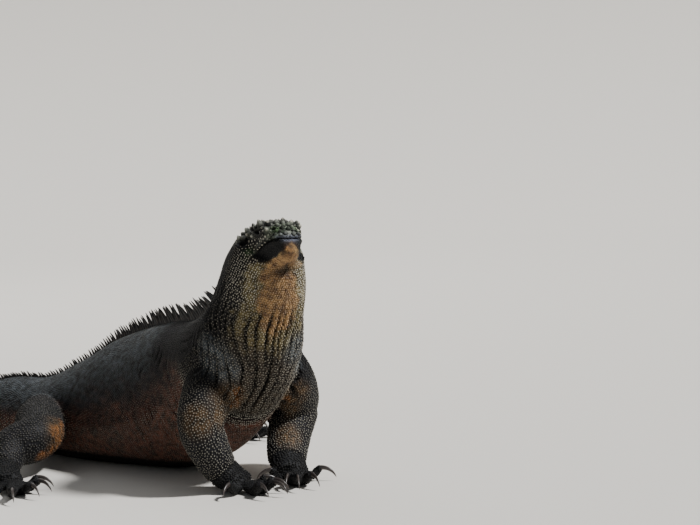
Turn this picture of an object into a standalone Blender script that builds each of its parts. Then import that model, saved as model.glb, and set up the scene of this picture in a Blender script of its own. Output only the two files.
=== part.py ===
"""Marine iguana, life size: belly on the ground, forelegs straight, head raised and turned right.

Metres, +Z up. The animal faces +X and its left side is +Y. Every station below is measured
from a point on the ground midway between the shoulders.
"""
import math
import random

import bmesh
import bpy
import numpy as np
from mathutils import Matrix, Vector
from mathutils.bvhtree import BVHTree

# Driving dimensions
STANCE_CENTRE = (-0.39325, 0.018)   # centre of the whole outline, seen from above
GAP = 0.0003                       # clearance between neighbouring pieces
LIMB_MARGIN = 0.004                # from a limb's own surface to where the trunk is cut back
FLESH_GRID = 0.0025                # grid on which the overlapping lofts are fused
FLESH_KEPT = 0.023                 # share of the fused triangles that is kept
HEAD_WEIGHT = 0.95                 # how readily they are dropped on the head, trunk being 1
LIMB_WEIGHT = 0.96
HEAD_ZONE = 0.052                  # reach of the head's weight round its centre
LIMB_ZONE = 0.070                  # distance from the trunk's middle line where limbs begin
LIMB_STEPS = 5                     # stations from one point of a limb's line to the next
HEAD_CENTRE = (0.084, -0.026, 0.2465)
HEAD_TURN = (-30, 17, -3)          # yaw, pitch and roll in degrees
HEAD_CUT = ((0.005, 0, -0.030), (0.30, 0, 0.954))  # point and direction in the head's frame
EYE = (0.0060, 0.0148, 0.0102)      # centre of the left eyeball in the head's frame
EYE_RADIUS = 0.0062
NOSTRIL = (0.0245, 0.0110, 0.0095)  # opening of the left nostril in the head's frame
MOUTH_HEIGHTS = (-0.0145, -0.0065, -0.0025, -0.0028, -0.0036)  # corner of the mouth to the front
MOUTH_CORNER = 97                  # degrees from straight ahead to the corner of the mouth
CLAW_LENGTH = 0.019
CLAW_ROOT = (0.0018, 0.0028)       # half width and half height
CLAW_BEND = (8, 74)                # how far the claw points down at root and tip, in degrees
CREST_PITCH = 0.0070               # from spine to spine along the back
TAIL_PITCH = 0.0115                # the same along the tail
SPINE_LENGTH = 0.42                # half of a spine's length along the back, in pitches
SPINE_WIDTH = 0.0012               # half of a spine's width
SPINE_ENDS = (0.004, 0.012)        # bare lengths at the tail's tip and behind the crown
CREST_SKIP = 3                     # fine stations left out at the tail's rounded tip
CREST_UPRIGHT = 0.6                # share of straight up in the spines' direction
THROAT_FOLDS = 22
CROWN_ROWS = 9                     # rows of cone-shaped scales across the head
CROWN_RANGE = (-0.038, 0.026)      # where the rows lie in the head's frame, back to front
CROWN_STEP = 17                    # degrees round the head from scale to scale
CROWN_SCALE = (0.0046, 0.0032, 0.0030)  # height, half length and half width of a full scale

# Neck and trunk, head end last: x, y, z of the middle line, half width, height above,
# depth below, depth of the skin folds under it
TRUNK = (
    (-0.300, 0.037, 0.046, 0.041, 0.042, 0.047, 0.0),       # hips
    (-0.255, 0.042, 0.046, 0.051, 0.060, 0.051, 0.0),       # loin
    (-0.200, 0.045, 0.046, 0.061, 0.085, 0.053, 0.0),       # belly
    (-0.150, 0.043, 0.050, 0.065, 0.095, 0.055, 0.0),
    (-0.100, 0.033, 0.060, 0.063, 0.097, 0.060, 0.0),       # ribs
    (-0.050, 0.018, 0.085, 0.057, 0.086, 0.067, 0.0),       # shoulder blades
    (-0.006, 0.004, 0.122, 0.056, 0.061, 0.067, 0.001),     # chest
    (0.024, -0.004, 0.158, 0.051, 0.046, 0.066, 0.0022),
    (0.041, -0.010, 0.192, 0.043, 0.041, 0.058, 0.0024),    # throat
    (0.054, -0.014, 0.222, 0.0385, 0.039, 0.053, 0.0016),
    (0.064, -0.018, 0.246, 0.032, 0.028, 0.047, 0.0),       # inside the back of the head
)
# Tail, root first: x, y, z of the middle line, half width, height above, depth below
TAIL = (
    (-0.345, 0.028, 0.044, 0.034, 0.043, 0.045),
    (-0.420, 0.008, 0.036, 0.025, 0.036, 0.037),
    (-0.520, -0.026, 0.027, 0.017, 0.029, 0.028),
    (-0.620, -0.050, 0.022, 0.012, 0.024, 0.023),
    (-0.720, -0.048, 0.018, 0.009, 0.020, 0.019),
    (-0.820, -0.018, 0.014, 0.006, 0.014, 0.015),
    (-0.905, 0.034, 0.006, 0.003, 0.005, 0.007),
)
# Where trunk and tail are parted, by the x of the middle line
TRUNK_CUTS = (-0.750, -0.610, -0.470, -0.334, -0.115, 0.017)
TRUNK_NAMES = ("tail_tip", "tail_rear", "tail_middle", "tail_root", "belly", "chest", "neck", "head")
# Head, back to front in its own frame: x, half width, height above, depth below, roundness
# of the upper half
HEAD = (
    (-0.047, 0.022, 0.015, 0.018, 0.9),
    (-0.038, 0.029, 0.020, 0.027, 0.8),
    (-0.024, 0.030, 0.0205, 0.032, 0.65),                   # jowls
    (-0.008, 0.0252, 0.0205, 0.030, 0.55),
    (0.006, 0.0200, 0.0195, 0.028, 0.6),                    # eyes
    (0.018, 0.0157, 0.0158, 0.0265, 0.8),
    (0.027, 0.0136, 0.0095, 0.0235, 1.0),                   # nostrils
    (0.034, 0.0095, 0.0010, 0.0185, 1.0),                   # lips
)
# Middle line of each limb from the shoulder or hip to the palm or sole: x, y, z
ARM_LINES = {
    "right": ((0.000, -0.026, 0.116), (0.002, -0.044, 0.100), (0.0062, -0.0676, 0.071),
              (0.0122, -0.0642, 0.045), (0.0195, -0.052, 0.0185), (0.041, -0.050, 0.0095)),
    "left": ((0.030, 0.026, 0.124), (0.0345, 0.0463, 0.096), (0.026, 0.067, 0.066),
             (0.029, 0.0486, 0.042), (0.0415, 0.025, 0.0185), (0.060, 0.010, 0.0095)),
}
LEG_LINES = {
    "right": ((-0.290, 0.016, 0.045), (-0.262, -0.022, 0.046), (-0.2293, -0.0623, 0.040),
              (-0.236, -0.094, 0.033), (-0.219, -0.122, 0.0175), (-0.196, -0.138, 0.0095)),
    "left": ((-0.290, 0.060, 0.045), (-0.248, 0.094, 0.046), (-0.196, 0.118, 0.044),
             (-0.208, 0.148, 0.033), (-0.184, 0.172, 0.0175), (-0.154, 0.176, 0.0095)),
}
# Girth along each limb, root first: half width and half depth at the points of its line
ARM_GIRTH = (
    (0.026, 0.027), (0.027, 0.026), (0.0230, 0.0225),
    (0.0225, 0.0200), (0.0200, 0.0155), (0.0175, 0.0090),
)
LEG_GIRTH = (
    (0.028, 0.028), (0.028, 0.027), (0.0245, 0.0255),
    (0.0210, 0.021), (0.0160, 0.0120), (0.0155, 0.0090),
)
# Places along a limb's line, in points from its root, where it is parted
LIMB_CUTS = (2.0, 3.85)
# Heading of hands and feet in degrees from straight ahead
HAND_HEADING = {"right": -8, "left": -45}
FOOT_HEADING = {"right": -22, "left": 8}
# Digits, inner to outer: turn away from the heading, length and radius of the toe
HAND_DIGITS = (
    (55, 0.014, 0.0046), (25, 0.027, 0.0049), (3, 0.036, 0.0051),
    (-18, 0.034, 0.0050), (-70, 0.020, 0.0045),
)
HAND_SWING = {"right": (-6, -5), "left": (34, -8)}  # added to the turns of the first two digits
FOOT_DIGITS = (
    (50, 0.022, 0.0044), (24, 0.033, 0.0047), (3, 0.043, 0.0050),
    (-20, 0.054, 0.0050), (-66, 0.030, 0.0045),
)
# Middle line of a toe beyond the palm: share of its length, height, share of its radius
TOE_LINE = (
    (-0.25, 0.0090, 0.9), (0.12, 0.0062, 1.0), (0.48, 0.0046, 0.97),
    (0.80, 0.0118, 0.97), (1.0, 0.0132, 0.74),
)
PALM_REACH = 0.010                 # from the middle of the palm to the roots of the toes
# Crest: x of the middle line and height of the spines there
CREST = (
    (-0.905, 0.0015), (-0.700, 0.0045), (-0.450, 0.0065), (-0.340, 0.0055),
    (-0.280, 0.0050), (-0.228, 0.0090), (-0.145, 0.0180), (-0.079, 0.0240),
    (-0.030, 0.0285), (0.004, 0.0275), (0.020, 0.0190), (0.036, 0.0095),
    (0.058, 0.0050),
)
# Colour and roughness of each piece, by the first word of its name
FINISHES = {
    "tail": ((0.055, 0.050, 0.048), 0.80),
    "belly": ((0.070, 0.050, 0.040), 0.75),
    "chest": ((0.160, 0.105, 0.065), 0.75),
    "neck": ((0.210, 0.140, 0.080), 0.75),
    "head": ((0.160, 0.160, 0.130), 0.70),
    "upper": ((0.075, 0.062, 0.055), 0.75),
    "forearm": ((0.045, 0.045, 0.048), 0.75),
    "hand": ((0.040, 0.040, 0.042), 0.75),
    "thigh": ((0.070, 0.045, 0.035), 0.75),
    "shin": ((0.060, 0.050, 0.045), 0.75),
    "foot": ((0.045, 0.043, 0.042), 0.75),
    "claw": ((0.040, 0.036, 0.032), 0.45),
    "eye": ((0.020, 0.014, 0.010), 0.15),
}


def clear_scene():
    """Start from an empty file."""
    for item in list(bpy.data.objects):
        bpy.data.objects.remove(item, do_unlink=True)


def smooth_rows(rows, steps):
    """Run a smooth curve through rows of numbers, with the given steps from row to row."""
    rows = np.array(rows, dtype=float)
    ends = np.vstack([2 * rows[0] - rows[1], rows, 2 * rows[-1] - rows[-2]])
    result = []
    for a, b, c, d in zip(ends, ends[1:], ends[2:], ends[3:]):
        for t in np.arange(steps) / steps:
            bend = (2 * a - 5 * b + 4 * c - d) * t ** 2 + (3 * b - a - 3 * c + d) * t ** 3
            result.append(0.5 * (2 * b + (c - a) * t + bend))
    result.append(rows[-1])
    return np.array(result)


def frames(points, up):
    """Forward, left and upper directions at each point of a line."""
    forward = np.gradient(points, axis=0)
    forward /= np.linalg.norm(forward, axis=1)[:, None]
    left = np.cross(np.array(up, dtype=float), forward)
    left /= np.linalg.norm(left, axis=1)[:, None]
    return forward, left, np.cross(forward, left)


def ring_points(centre, left, upper, size, sides, ridge):
    """Points of one cross-section: rounded below, roofed or squared above, folded where told."""
    width, above, below = size[:3]
    fold, roundness = size[3:] if len(size) > 3 else (0.0, 1.0)
    for number in range(sides):
        turn = 2 * math.pi * number / sides
        side, height = math.sin(turn), math.cos(turn)
        if height > 0:
            side = math.copysign(abs(side) ** (ridge * roundness), side)
            height = height ** roundness
        reach = above if height > 0 else below
        pleat = 1 + fold * max(0.0, 0.35 - height) * math.cos(THROAT_FOLDS * turn) / below
        yield centre + (left * width * side + upper * reach * height) * pleat


def loft(points, left, upper, sizes, sides=28, ridge=1.0):
    """Closed tube of rings along a line; a ring without size closes it in a point."""
    mesh = bmesh.new()
    rings = []
    for place in zip(points, left, upper, sizes):
        if place[3][0] == 0:
            rings.append([mesh.verts.new(place[0])] * sides)
        else:
            rings.append([mesh.verts.new(point) for point in ring_points(*place, sides, ridge)])
    for first, second in zip(rings, rings[1:]):
        for number in range(sides):
            following = (number + 1) % sides
            corners = (first[number], first[following], second[following], second[number])
            mesh.faces.new(list(dict.fromkeys(corners)))
    for ring in (rings[0][::-1], rings[-1]):
        if ring[0] is not ring[1]:
            mesh.faces.new(ring)
    bmesh.ops.recalc_face_normals(mesh, faces=mesh.faces)
    return mesh


def as_object(name, mesh):
    """Turn a bmesh into an object of the scene."""
    data = bpy.data.meshes.new(name)
    mesh.to_mesh(data)
    mesh.free()
    item = bpy.data.objects.new(name, data)
    bpy.context.scene.collection.objects.link(item)
    return item


def trunk_rows(steps=7):
    """Tail, trunk and neck as one smooth run of stations, tail tip first."""
    tail = [(*row, 0.0) for row in reversed(TAIL)]
    return smooth_rows(tail + list(TRUNK), steps)


def trunk():
    """Tail, trunk and neck."""
    rows = trunk_rows()
    _, left, upper = frames(rows[:, :3], (0, 0, 1))
    sizes = np.c_[rows[:, 3:], np.ones(len(rows))]
    return as_object("trunk", loft(rows[:, :3], left, upper, sizes, 66, 1.12))


def head_matrix():
    """Place of the head's own frame: x to the snout, y to its left, z to its crown."""
    yaw, pitch, roll = (math.radians(angle) for angle in HEAD_TURN)
    turn = Matrix.Rotation(yaw, 4, "Z") @ Matrix.Rotation(-pitch, 4, "Y") @ Matrix.Rotation(roll, 4, "X")
    return Matrix.Translation(HEAD_CENTRE) @ turn


def head():
    """Skull and jaw."""
    rows = smooth_rows(HEAD, 5)
    points = np.c_[rows[:, 0], np.zeros(len(rows)), np.zeros(len(rows))]
    _, left, upper = frames(points, (0, 0, 1))
    sizes = np.c_[rows[:, 1:4], np.zeros(len(rows)), rows[:, 4]]
    mesh = loft(points, left, upper, sizes, 28)
    bmesh.ops.transform(mesh, matrix=head_matrix(), verts=mesh.verts)
    return as_object("head", mesh)


def limb_rows(line, girth):
    """Stations along a limb: place, half width and half depth."""
    return smooth_rows(np.c_[np.array(line), np.array(girth)], LIMB_STEPS)


def limb(name, line, girth, margin=0.0):
    """One limb, or the same limb larger by a margin all round."""
    rows = limb_rows(line, girth)
    forward, left, upper = frames(rows[:, :3], (0.4, 0.1, 1.0))
    points = rows[:, :3].copy()
    points[-1] += forward[-1] * margin
    sizes = np.c_[rows[:, 3], rows[:, 4], rows[:, 4]] + margin
    return as_object(name, loft(points, left, upper, sizes, 18))


def apply_modifiers(item):
    """Keep an object's shape as its modifiers show it, and drop the modifiers."""
    graph = bpy.context.evaluated_depsgraph_get()
    data = bpy.data.meshes.new_from_object(item.evaluated_get(graph))
    item.modifiers.clear()
    item.data = data
    return item


def boolean(item, other, operation):
    """Apply one Boolean with another object, which is removed; EXACT loses the body here."""
    modifier = item.modifiers.new("boolean", "BOOLEAN")
    modifier.operation = operation
    modifier.object = other
    modifier.solver = "MANIFOLD"
    apply_modifiers(item)
    bpy.data.objects.remove(other, do_unlink=True)
    return item


def union_all(item, pieces):
    """Fuse many closed pieces onto one object."""
    group = bpy.data.collections.new("pieces")
    for piece in pieces:
        group.objects.link(piece)
    modifier = item.modifiers.new("boolean", "BOOLEAN")
    modifier.operation = "UNION"
    modifier.solver = "MANIFOLD"
    modifier.operand_type = "COLLECTION"
    modifier.collection = group
    apply_modifiers(item)
    for piece in pieces:
        bpy.data.objects.remove(piece, do_unlink=True)
    bpy.data.collections.remove(group)
    return keep_largest(item)


def surfaces(mesh):
    """Closed surfaces of a bmesh, as lists of faces."""
    left = set(mesh.faces)
    found = []
    while left:
        front = [left.pop()]
        surface = []
        while front:
            face = front.pop()
            surface.append(face)
            for edge in face.edges:
                for other in edge.link_faces:
                    if other in left:
                        left.remove(other)
                        front.append(other)
        found.append(surface)
    return found


def keep_largest(item):
    """Drop every closed surface of an object but the largest."""
    mesh = bmesh.new()
    mesh.from_mesh(item.data)
    parts = sorted(surfaces(mesh), key=lambda part: sum(face.calc_area() for face in part))
    for part in parts[:-1]:
        bmesh.ops.delete(mesh, geom=part, context="FACES")
    bmesh.ops.delete(mesh, geom=[vert for vert in mesh.verts if not vert.link_faces], context="VERTS")
    mesh.to_mesh(item.data)
    mesh.free()
    return item


def copy_of(item, name):
    """A second object with its own copy of the mesh."""
    twin = bpy.data.objects.new(name, item.data.copy())
    bpy.context.scene.collection.objects.link(twin)
    return twin


def half_space(point, direction, reach=1.2):
    """A large box that fills everything ahead of a plane."""
    mesh = bmesh.new()
    bmesh.ops.create_cube(mesh, size=2 * reach)
    turn = Vector(direction).to_track_quat("Z", "Y").to_matrix().to_4x4()
    place = Matrix.Translation(Vector(point)) @ turn @ Matrix.Translation((0, 0, reach))
    bmesh.ops.transform(mesh, matrix=place, verts=mesh.verts)
    return as_object("half_space", mesh)


def part_at(item, point, direction, ahead_name):
    """Part an object at a plane; what lies ahead of it becomes a new object."""
    point, direction = Vector(point), Vector(direction).normalized()
    ahead = copy_of(item, ahead_name)
    boolean(ahead, half_space(point + direction * GAP / 2, direction), "INTERSECT")
    boolean(item, half_space(point - direction * GAP / 2, direction), "DIFFERENCE")
    return keep_largest(ahead)


def fuse_flesh():
    """Melt trunk, head and limbs into one skin-covered body, flat where it meets the ground."""
    items = [trunk(), head()]
    for side in ("right", "left"):
        items.append(limb("arm", ARM_LINES[side], ARM_GIRTH))
        items.append(limb("leg", LEG_LINES[side], LEG_GIRTH))
    bpy.ops.object.select_all(action="DESELECT")
    for item in items:
        item.select_set(True)
    bpy.context.view_layer.objects.active = items[0]
    bpy.ops.object.join()
    body = items[0]
    remesh = body.modifiers.new("remesh", "REMESH")
    remesh.mode = "VOXEL"
    remesh.voxel_size = FLESH_GRID
    smooth = body.modifiers.new("smooth", "SMOOTH")
    smooth.iterations = 5
    smooth.factor = 0.5
    apply_modifiers(body)
    coarse = body.vertex_groups.new(name="coarse")
    line = trunk_rows()[:, :3]
    for vert in body.data.vertices:
        near_head = (vert.co - Vector(HEAD_CENTRE)).length < HEAD_ZONE
        on_limb = np.linalg.norm(line - np.array(vert.co), axis=1).min() > LIMB_ZONE
        coarse.add([vert.index], HEAD_WEIGHT if near_head else LIMB_WEIGHT if on_limb else 1.0, "REPLACE")
    decimate = body.modifiers.new("decimate", "DECIMATE")
    decimate.ratio = FLESH_KEPT
    decimate.vertex_group = "coarse"
    apply_modifiers(body)
    return boolean(body, half_space((0, 0, 0), (0, 0, -1)), "DIFFERENCE")


def limb_cutter(line, girth, clearance):
    """A solid a little larger than a limb, whose surface parts the limb from the trunk."""
    cutter = limb("cutter", line, girth, LIMB_MARGIN)
    remesh = cutter.modifiers.new("remesh", "REMESH")
    remesh.mode = "VOXEL"
    remesh.voxel_size = FLESH_GRID
    smooth = cutter.modifiers.new("smooth", "SMOOTH")
    smooth.iterations = 4
    decimate = cutter.modifiers.new("decimate", "DECIMATE")
    decimate.ratio = 0.05
    grow = cutter.modifiers.new("grow", "DISPLACE")
    grow.mid_level = 0
    grow.strength = clearance
    return apply_modifiers(cutter)


def part_limb(flesh, side, line, girth, names):
    """Take one limb off the flesh and part it at its two joints."""
    item = copy_of(flesh, names[0] + "_" + side)
    boolean(item, limb_cutter(line, girth, 0.0), "INTERSECT")
    keep_largest(item)
    boolean(flesh, limb_cutter(line, girth, GAP), "DIFFERENCE")
    keep_largest(flesh)
    rows = limb_rows(line, girth)
    forward = frames(rows[:, :3], (0, 0, 1))[0]
    lengths = [item]
    for place, name in zip(LIMB_CUTS, names[1:]):
        index = round(place * LIMB_STEPS)
        item = part_at(item, rows[index, :3], forward[index], name + "_" + side)
        lengths.append(item)
    return lengths


def part_trunk(flesh):
    """Part the trunk from tail tip to head."""
    flesh.name = TRUNK_NAMES[0]
    lengths = [flesh]
    for (point, direction), name in zip(trunk_cuts(), TRUNK_NAMES[1:]):
        lengths.append(part_at(lengths[-1], point, direction, name))
    for item in lengths:
        keep_largest(item)
    return {item.name: item for item in lengths}


def surface_point(tree, start, direction):
    """Where a line from inside the body comes out, and the direction square to the skin there."""
    point, normal, _, _ = tree.ray_cast(Vector(start), Vector(direction))
    return point, normal


def cone(point, normal, lean, height, length, width, sides=4, sink=0.0015):
    """A tapered, slightly bent spine or scale: length runs along the lean, width across it."""
    normal, lean = Vector(normal).normalized(), Vector(lean)
    along = (lean - normal * lean.dot(normal)).normalized()
    across = normal.cross(along)
    levels = [(-sink, 1.0, 0.0), (height * 0.45, 0.72, 0.10), (height, 0.0, 0.42)]
    if sides > 4:
        levels.pop(1)
    centres = [np.array(point + normal * rise + along * height * shift) for rise, _, shift in levels]
    sizes = [(length * share, width * share, width * share) for _, share, _ in levels]
    return as_object("cone", loft(centres, [np.array(along)] * 3, [np.array(across)] * 3, sizes, sides))


def trunk_cuts():
    """Point and direction of each cut across tail, trunk and neck, the head's last."""
    rows = trunk_rows()
    forward = frames(rows[:, :3], (0, 0, 1))[0]
    for place in TRUNK_CUTS:
        index = int(np.argmin(abs(rows[:, 0] - place)))
        yield rows[index, :3], forward[index]
    point, direction = (Vector(item) for item in HEAD_CUT)
    yield np.array(head_matrix() @ point), np.array((head_matrix().to_3x3() @ direction).normalized())


def crest_spines(tree):
    """Spines along the back from nape to tail tip, sorted by the length of trunk they stand on."""
    rows = trunk_rows(40)[CREST_SKIP:]
    forward, _, upper = frames(rows[:, :3], (0, 0, 1))
    back = np.array([surface_point(tree, row[:3], up)[0] for row, up in zip(rows, upper)])
    walked = np.r_[0, np.cumsum(np.linalg.norm(np.diff(back, axis=0), axis=1))]
    spines = {name: [] for name in TRUNK_NAMES}
    crest_x, crest_height = zip(*CREST)
    draw = random.Random(4)
    place = walked[-1] - SPINE_ENDS[1]
    while place > SPINE_ENDS[0]:
        index = int(np.argmin(abs(walked - place)))
        point = back[index]
        x = rows[index, 0]
        height = float(np.interp(x, crest_x, crest_height)) * draw.uniform(0.88, 1.08)
        pitch = CREST_PITCH if x > TRUNK_CUTS[3] else TAIL_PITCH
        ahead = [float((point - start) @ direction) for start, direction in trunk_cuts()]
        if min(abs(distance) for distance in ahead) > pitch * SPINE_LENGTH + 2 * GAP:
            name = TRUNK_NAMES[sum(distance > 0 for distance in ahead)]
            rise = upper[index] + np.array([0.0, 0.0, CREST_UPRIGHT])
            size = (height, pitch * SPINE_LENGTH, SPINE_WIDTH)
            spines[name].append(cone(point, rise, -forward[index], *size))
        place -= pitch
    return spines


def digits(kind, side, line, heading, toes):
    """Toes of one hand or foot as pieces to fuse on, and their claws as nodes."""
    outward = -1 if side == "right" else 1
    palm = np.array(line[-1])
    pieces = []
    for number, (turn, length, radius) in enumerate(toes, 1):
        if kind == "hand" and number <= len(HAND_SWING[side]):
            turn += HAND_SWING[side][number - 1]
        angle = math.radians(heading - outward * turn)
        ahead = np.array([math.cos(angle), math.sin(angle), 0.0])
        rows = smooth_rows(TOE_LINE, 2)
        points = palm + ahead * (PALM_REACH + length * rows[:, :1])
        points[:, 2] = rows[:, 1]
        forward, left, upper = frames(points, (0, 0, 1))
        radii = radius * rows[:, 2]
        mesh = loft(points, left, upper, np.c_[radii, radii, radii], 6)
        pieces.append(as_object("toe", mesh))
        root = points[-1] + forward[-1] * GAP
        claw(f"claw_{kind}_{side}_{number}", root, ahead, left[-1], upper[-1])
    return pieces


def claw(name, root, ahead, left, root_upper):
    """One curved claw, flat-sided, its root face to face with the toe, its tip just over the ground."""
    first, last = CLAW_BEND
    count = 4
    points, forwards = [root], []
    for step in range(count):
        angle = math.radians(first + (last - first) * step / (count - 1))
        forwards.append(ahead * math.cos(angle) - np.array([0, 0, math.sin(angle)]))
        points.append(points[-1] + forwards[-1] * CLAW_LENGTH / count)
    forwards.append(forwards[-1])
    uppers = [root_upper] + [np.cross(forward, left) for forward in forwards[1:]]
    width, height = CLAW_ROOT
    share = [(1 - step / count) ** 0.8 for step in range(count + 1)]
    sizes = [(width * part, height * part, height * part) for part in share]
    return as_object(name, loft(points, [left] * (count + 1), uppers, sizes, 4))


def ring_tube(points, closed_up, radius, sides=6):
    """A closed ring of round section through the given points."""
    mesh = bmesh.new()
    count = len(points)
    rings = []
    for number, point in enumerate(points):
        along = (points[(number + 1) % count] - points[number - 1]).normalized()
        side = along.cross(closed_up).normalized()
        turns = [2 * math.pi * step / sides for step in range(sides)]
        round_point = [side * math.cos(turn) + closed_up * math.sin(turn) for turn in turns]
        rings.append([mesh.verts.new(point + offset * radius) for offset in round_point])
    for number in range(count):
        first, second = rings[number], rings[(number + 1) % count]
        for step in range(sides):
            following = (step + 1) % sides
            mesh.faces.new((first[step], first[following], second[following], second[step]))
    bmesh.ops.recalc_face_normals(mesh, faces=mesh.faces)
    return as_object("ring", mesh)


def ball(name, centre, radius):
    """A round ball."""
    mesh = bmesh.new()
    bmesh.ops.create_uvsphere(mesh, u_segments=12, v_segments=8, radius=radius)
    bmesh.ops.translate(mesh, vec=centre, verts=mesh.verts)
    return as_object(name, mesh)


def ellipse(centre, facing, along, wide, high, count=14):
    """Points of an ellipse that faces a direction."""
    facing = facing.normalized()
    along = (along - facing * along.dot(facing)).normalized()
    across = facing.cross(along)
    turns = [2 * math.pi * step / count for step in range(count)]
    return [centre + along * wide * math.cos(t) + across * high * math.sin(t) for t in turns]


def mouth_line(tree, frame, drop, count=17):
    """Points on the skin along the mouth, from the right corner round the front to the left."""
    corner = math.radians(MOUTH_CORNER)
    points = []
    for number in range(count):
        angle = corner * (2 * number / (count - 1) - 1)
        share = np.linspace(0, 1, len(MOUTH_HEIGHTS))
        height = np.interp(1 - abs(angle) / corner, share, MOUTH_HEIGHTS) + drop
        outward = Vector((math.cos(angle), math.sin(angle), 0))
        start = frame @ Vector((0, 0, height))
        point, _ = surface_point(tree, start, frame.to_3x3() @ outward)
        points.append((point, frame.to_3x3() @ outward))
    return points


def tube_along(places, upward, out, thick, sides):
    """A tube along the mouth: reach in and out of the skin, and half thickness."""
    points = [np.array(point) for point, _ in places]
    outward = [np.array(side) for _, side in places]
    sizes = [(out, thick, thick)] * len(points)
    return as_object("lip", loft(points, outward, [np.array(upward)] * len(points), sizes, sides))


def finish_head(head_node, tree):
    """Lids, lips, nostrils and the conical scales of the crown; the eyes are nodes of their own."""
    frame = head_matrix()
    turn = frame.to_3x3()
    upward = turn @ Vector((0, 0, 1))
    lines = [mouth_line(tree, frame, drop) for drop in (0.0016, -0.0016)]
    pieces = [tube_along(line, upward, 0.0012, 0.0013, 5) for line in lines]
    holes = [tube_along(mouth_line(tree, frame, 0.0), upward, 0.0028, 0.0005, 4)]
    for outward, side in ((-1, "right"), (1, "left")):
        facing = turn @ Vector((0.15, outward * 0.95, 0.28))
        centre = frame @ Vector((EYE[0], outward * EYE[1], EYE[2]))
        ahead = turn @ Vector((1, 0, 0))
        lid = ellipse(centre + facing * 0.0031, facing, ahead, 0.0070, 0.0054)
        pieces.append(ring_tube(lid, facing.normalized(), 0.0016))
        holes.append(ball("socket", centre, EYE_RADIUS + GAP))
        ball(f"eye_{side}", centre, EYE_RADIUS)
        opening = Vector((0.35, outward * 0.80, 0.50)).normalized()
        start = frame @ Vector((NOSTRIL[0] - 0.006, 0.0, NOSTRIL[2] - 0.008))
        nostril = frame @ Vector((NOSTRIL[0], outward * NOSTRIL[1], NOSTRIL[2]))
        point, _ = surface_point(tree, start, nostril - start)
        rim = ellipse(point, turn @ opening, ahead, 0.0031, 0.0026, 10)
        pieces.append(ring_tube(rim, turn @ opening, 0.0014))
        inward = -(turn @ opening)
        holes.append(cone(point - inward * 0.003, inward, ahead, 0.008, 0.0019, 0.0016, 8))
    pieces += crown_scales(tree, frame)
    union_all(head_node, pieces)
    for hole in holes:
        boolean(head_node, hole, "DIFFERENCE")
    keep_largest(head_node)


def crown_scales(tree, frame):
    """Cone-shaped scales on the crown and snout, largest over the eyes and low on the nape."""
    draw = random.Random(11)
    scales = []
    turn = frame.to_3x3()
    for row in range(CROWN_ROWS):
        share = row / (CROWN_ROWS - 1)
        x = CROWN_RANGE[0] + (CROWN_RANGE[1] - CROWN_RANGE[0]) * share
        size = 0.6 + 0.5 * math.sin(math.pi * min(1.0, share * 1.15)) ** 0.7
        count = 7 if row % 2 else 6
        for number in range(count):
            angle = math.radians((number - (count - 1) / 2) * CROWN_STEP + draw.uniform(-3, 3))
            outward = turn @ Vector((0, math.sin(angle), math.cos(angle)))
            start = frame @ Vector((x + draw.uniform(-0.001, 0.001), 0, 0))
            point, _ = surface_point(tree, start, outward)
            tall, length, width = (share * size for share in CROWN_SCALE)
            tall *= draw.uniform(0.8, 1.15)
            scales.append(cone(point, outward, turn @ Vector((-1, 0, 0)), tall, length, width, 5))
    return scales


def skin_material(name, colour, roughness):
    """Scaly skin of one region of the body."""
    material = bpy.data.materials.new(name)
    material.use_nodes = True
    shader = material.node_tree.nodes["Principled BSDF"]
    shader.inputs["Base Color"].default_value = (*colour, 1)
    shader.inputs["Roughness"].default_value = roughness
    shader.inputs["Metallic"].default_value = 0.0
    return material


clear_scene()
flesh = fuse_flesh()
mesh = bmesh.new()
mesh.from_mesh(flesh.data)
tree = BVHTree.FromBMesh(mesh)
mesh.free()
nodes = {}
for side in ("right", "left"):
    for lines, girth, names, headings, toes in (
        (ARM_LINES, ARM_GIRTH, ("upper_arm", "forearm", "hand"), HAND_HEADING, HAND_DIGITS),
        (LEG_LINES, LEG_GIRTH, ("thigh", "shin", "foot"), FOOT_HEADING, FOOT_DIGITS),
    ):
        lengths = part_limb(flesh, side, lines[side], girth, names)
        for item in lengths:
            nodes[item.name] = item
        union_all(lengths[-1], digits(names[-1], side, lines[side], headings[side], toes))
        boolean(lengths[-1], half_space((0, 0, 0), (0, 0, -1)), "DIFFERENCE")
nodes.update(part_trunk(flesh))
for name, spines in crest_spines(tree).items():
    union_all(nodes[name], spines)
finish_head(nodes["head"], tree)
for item in bpy.data.objects:
    item.location -= Vector((*STANCE_CENTRE, 0))
    item.data.materials.clear()
    item.data.materials.append(skin_material(item.name, *FINISHES[item.name.split("_")[0]]))
    item.data.shade_smooth()
    item.data.set_sharp_from_angle(angle=math.radians(40))
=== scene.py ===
import math

import bmesh
import bpy
import numpy as np
from mathutils import Matrix, Vector
from mathutils.bvhtree import BVHTree
from mathutils.kdtree import KDTree


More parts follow.
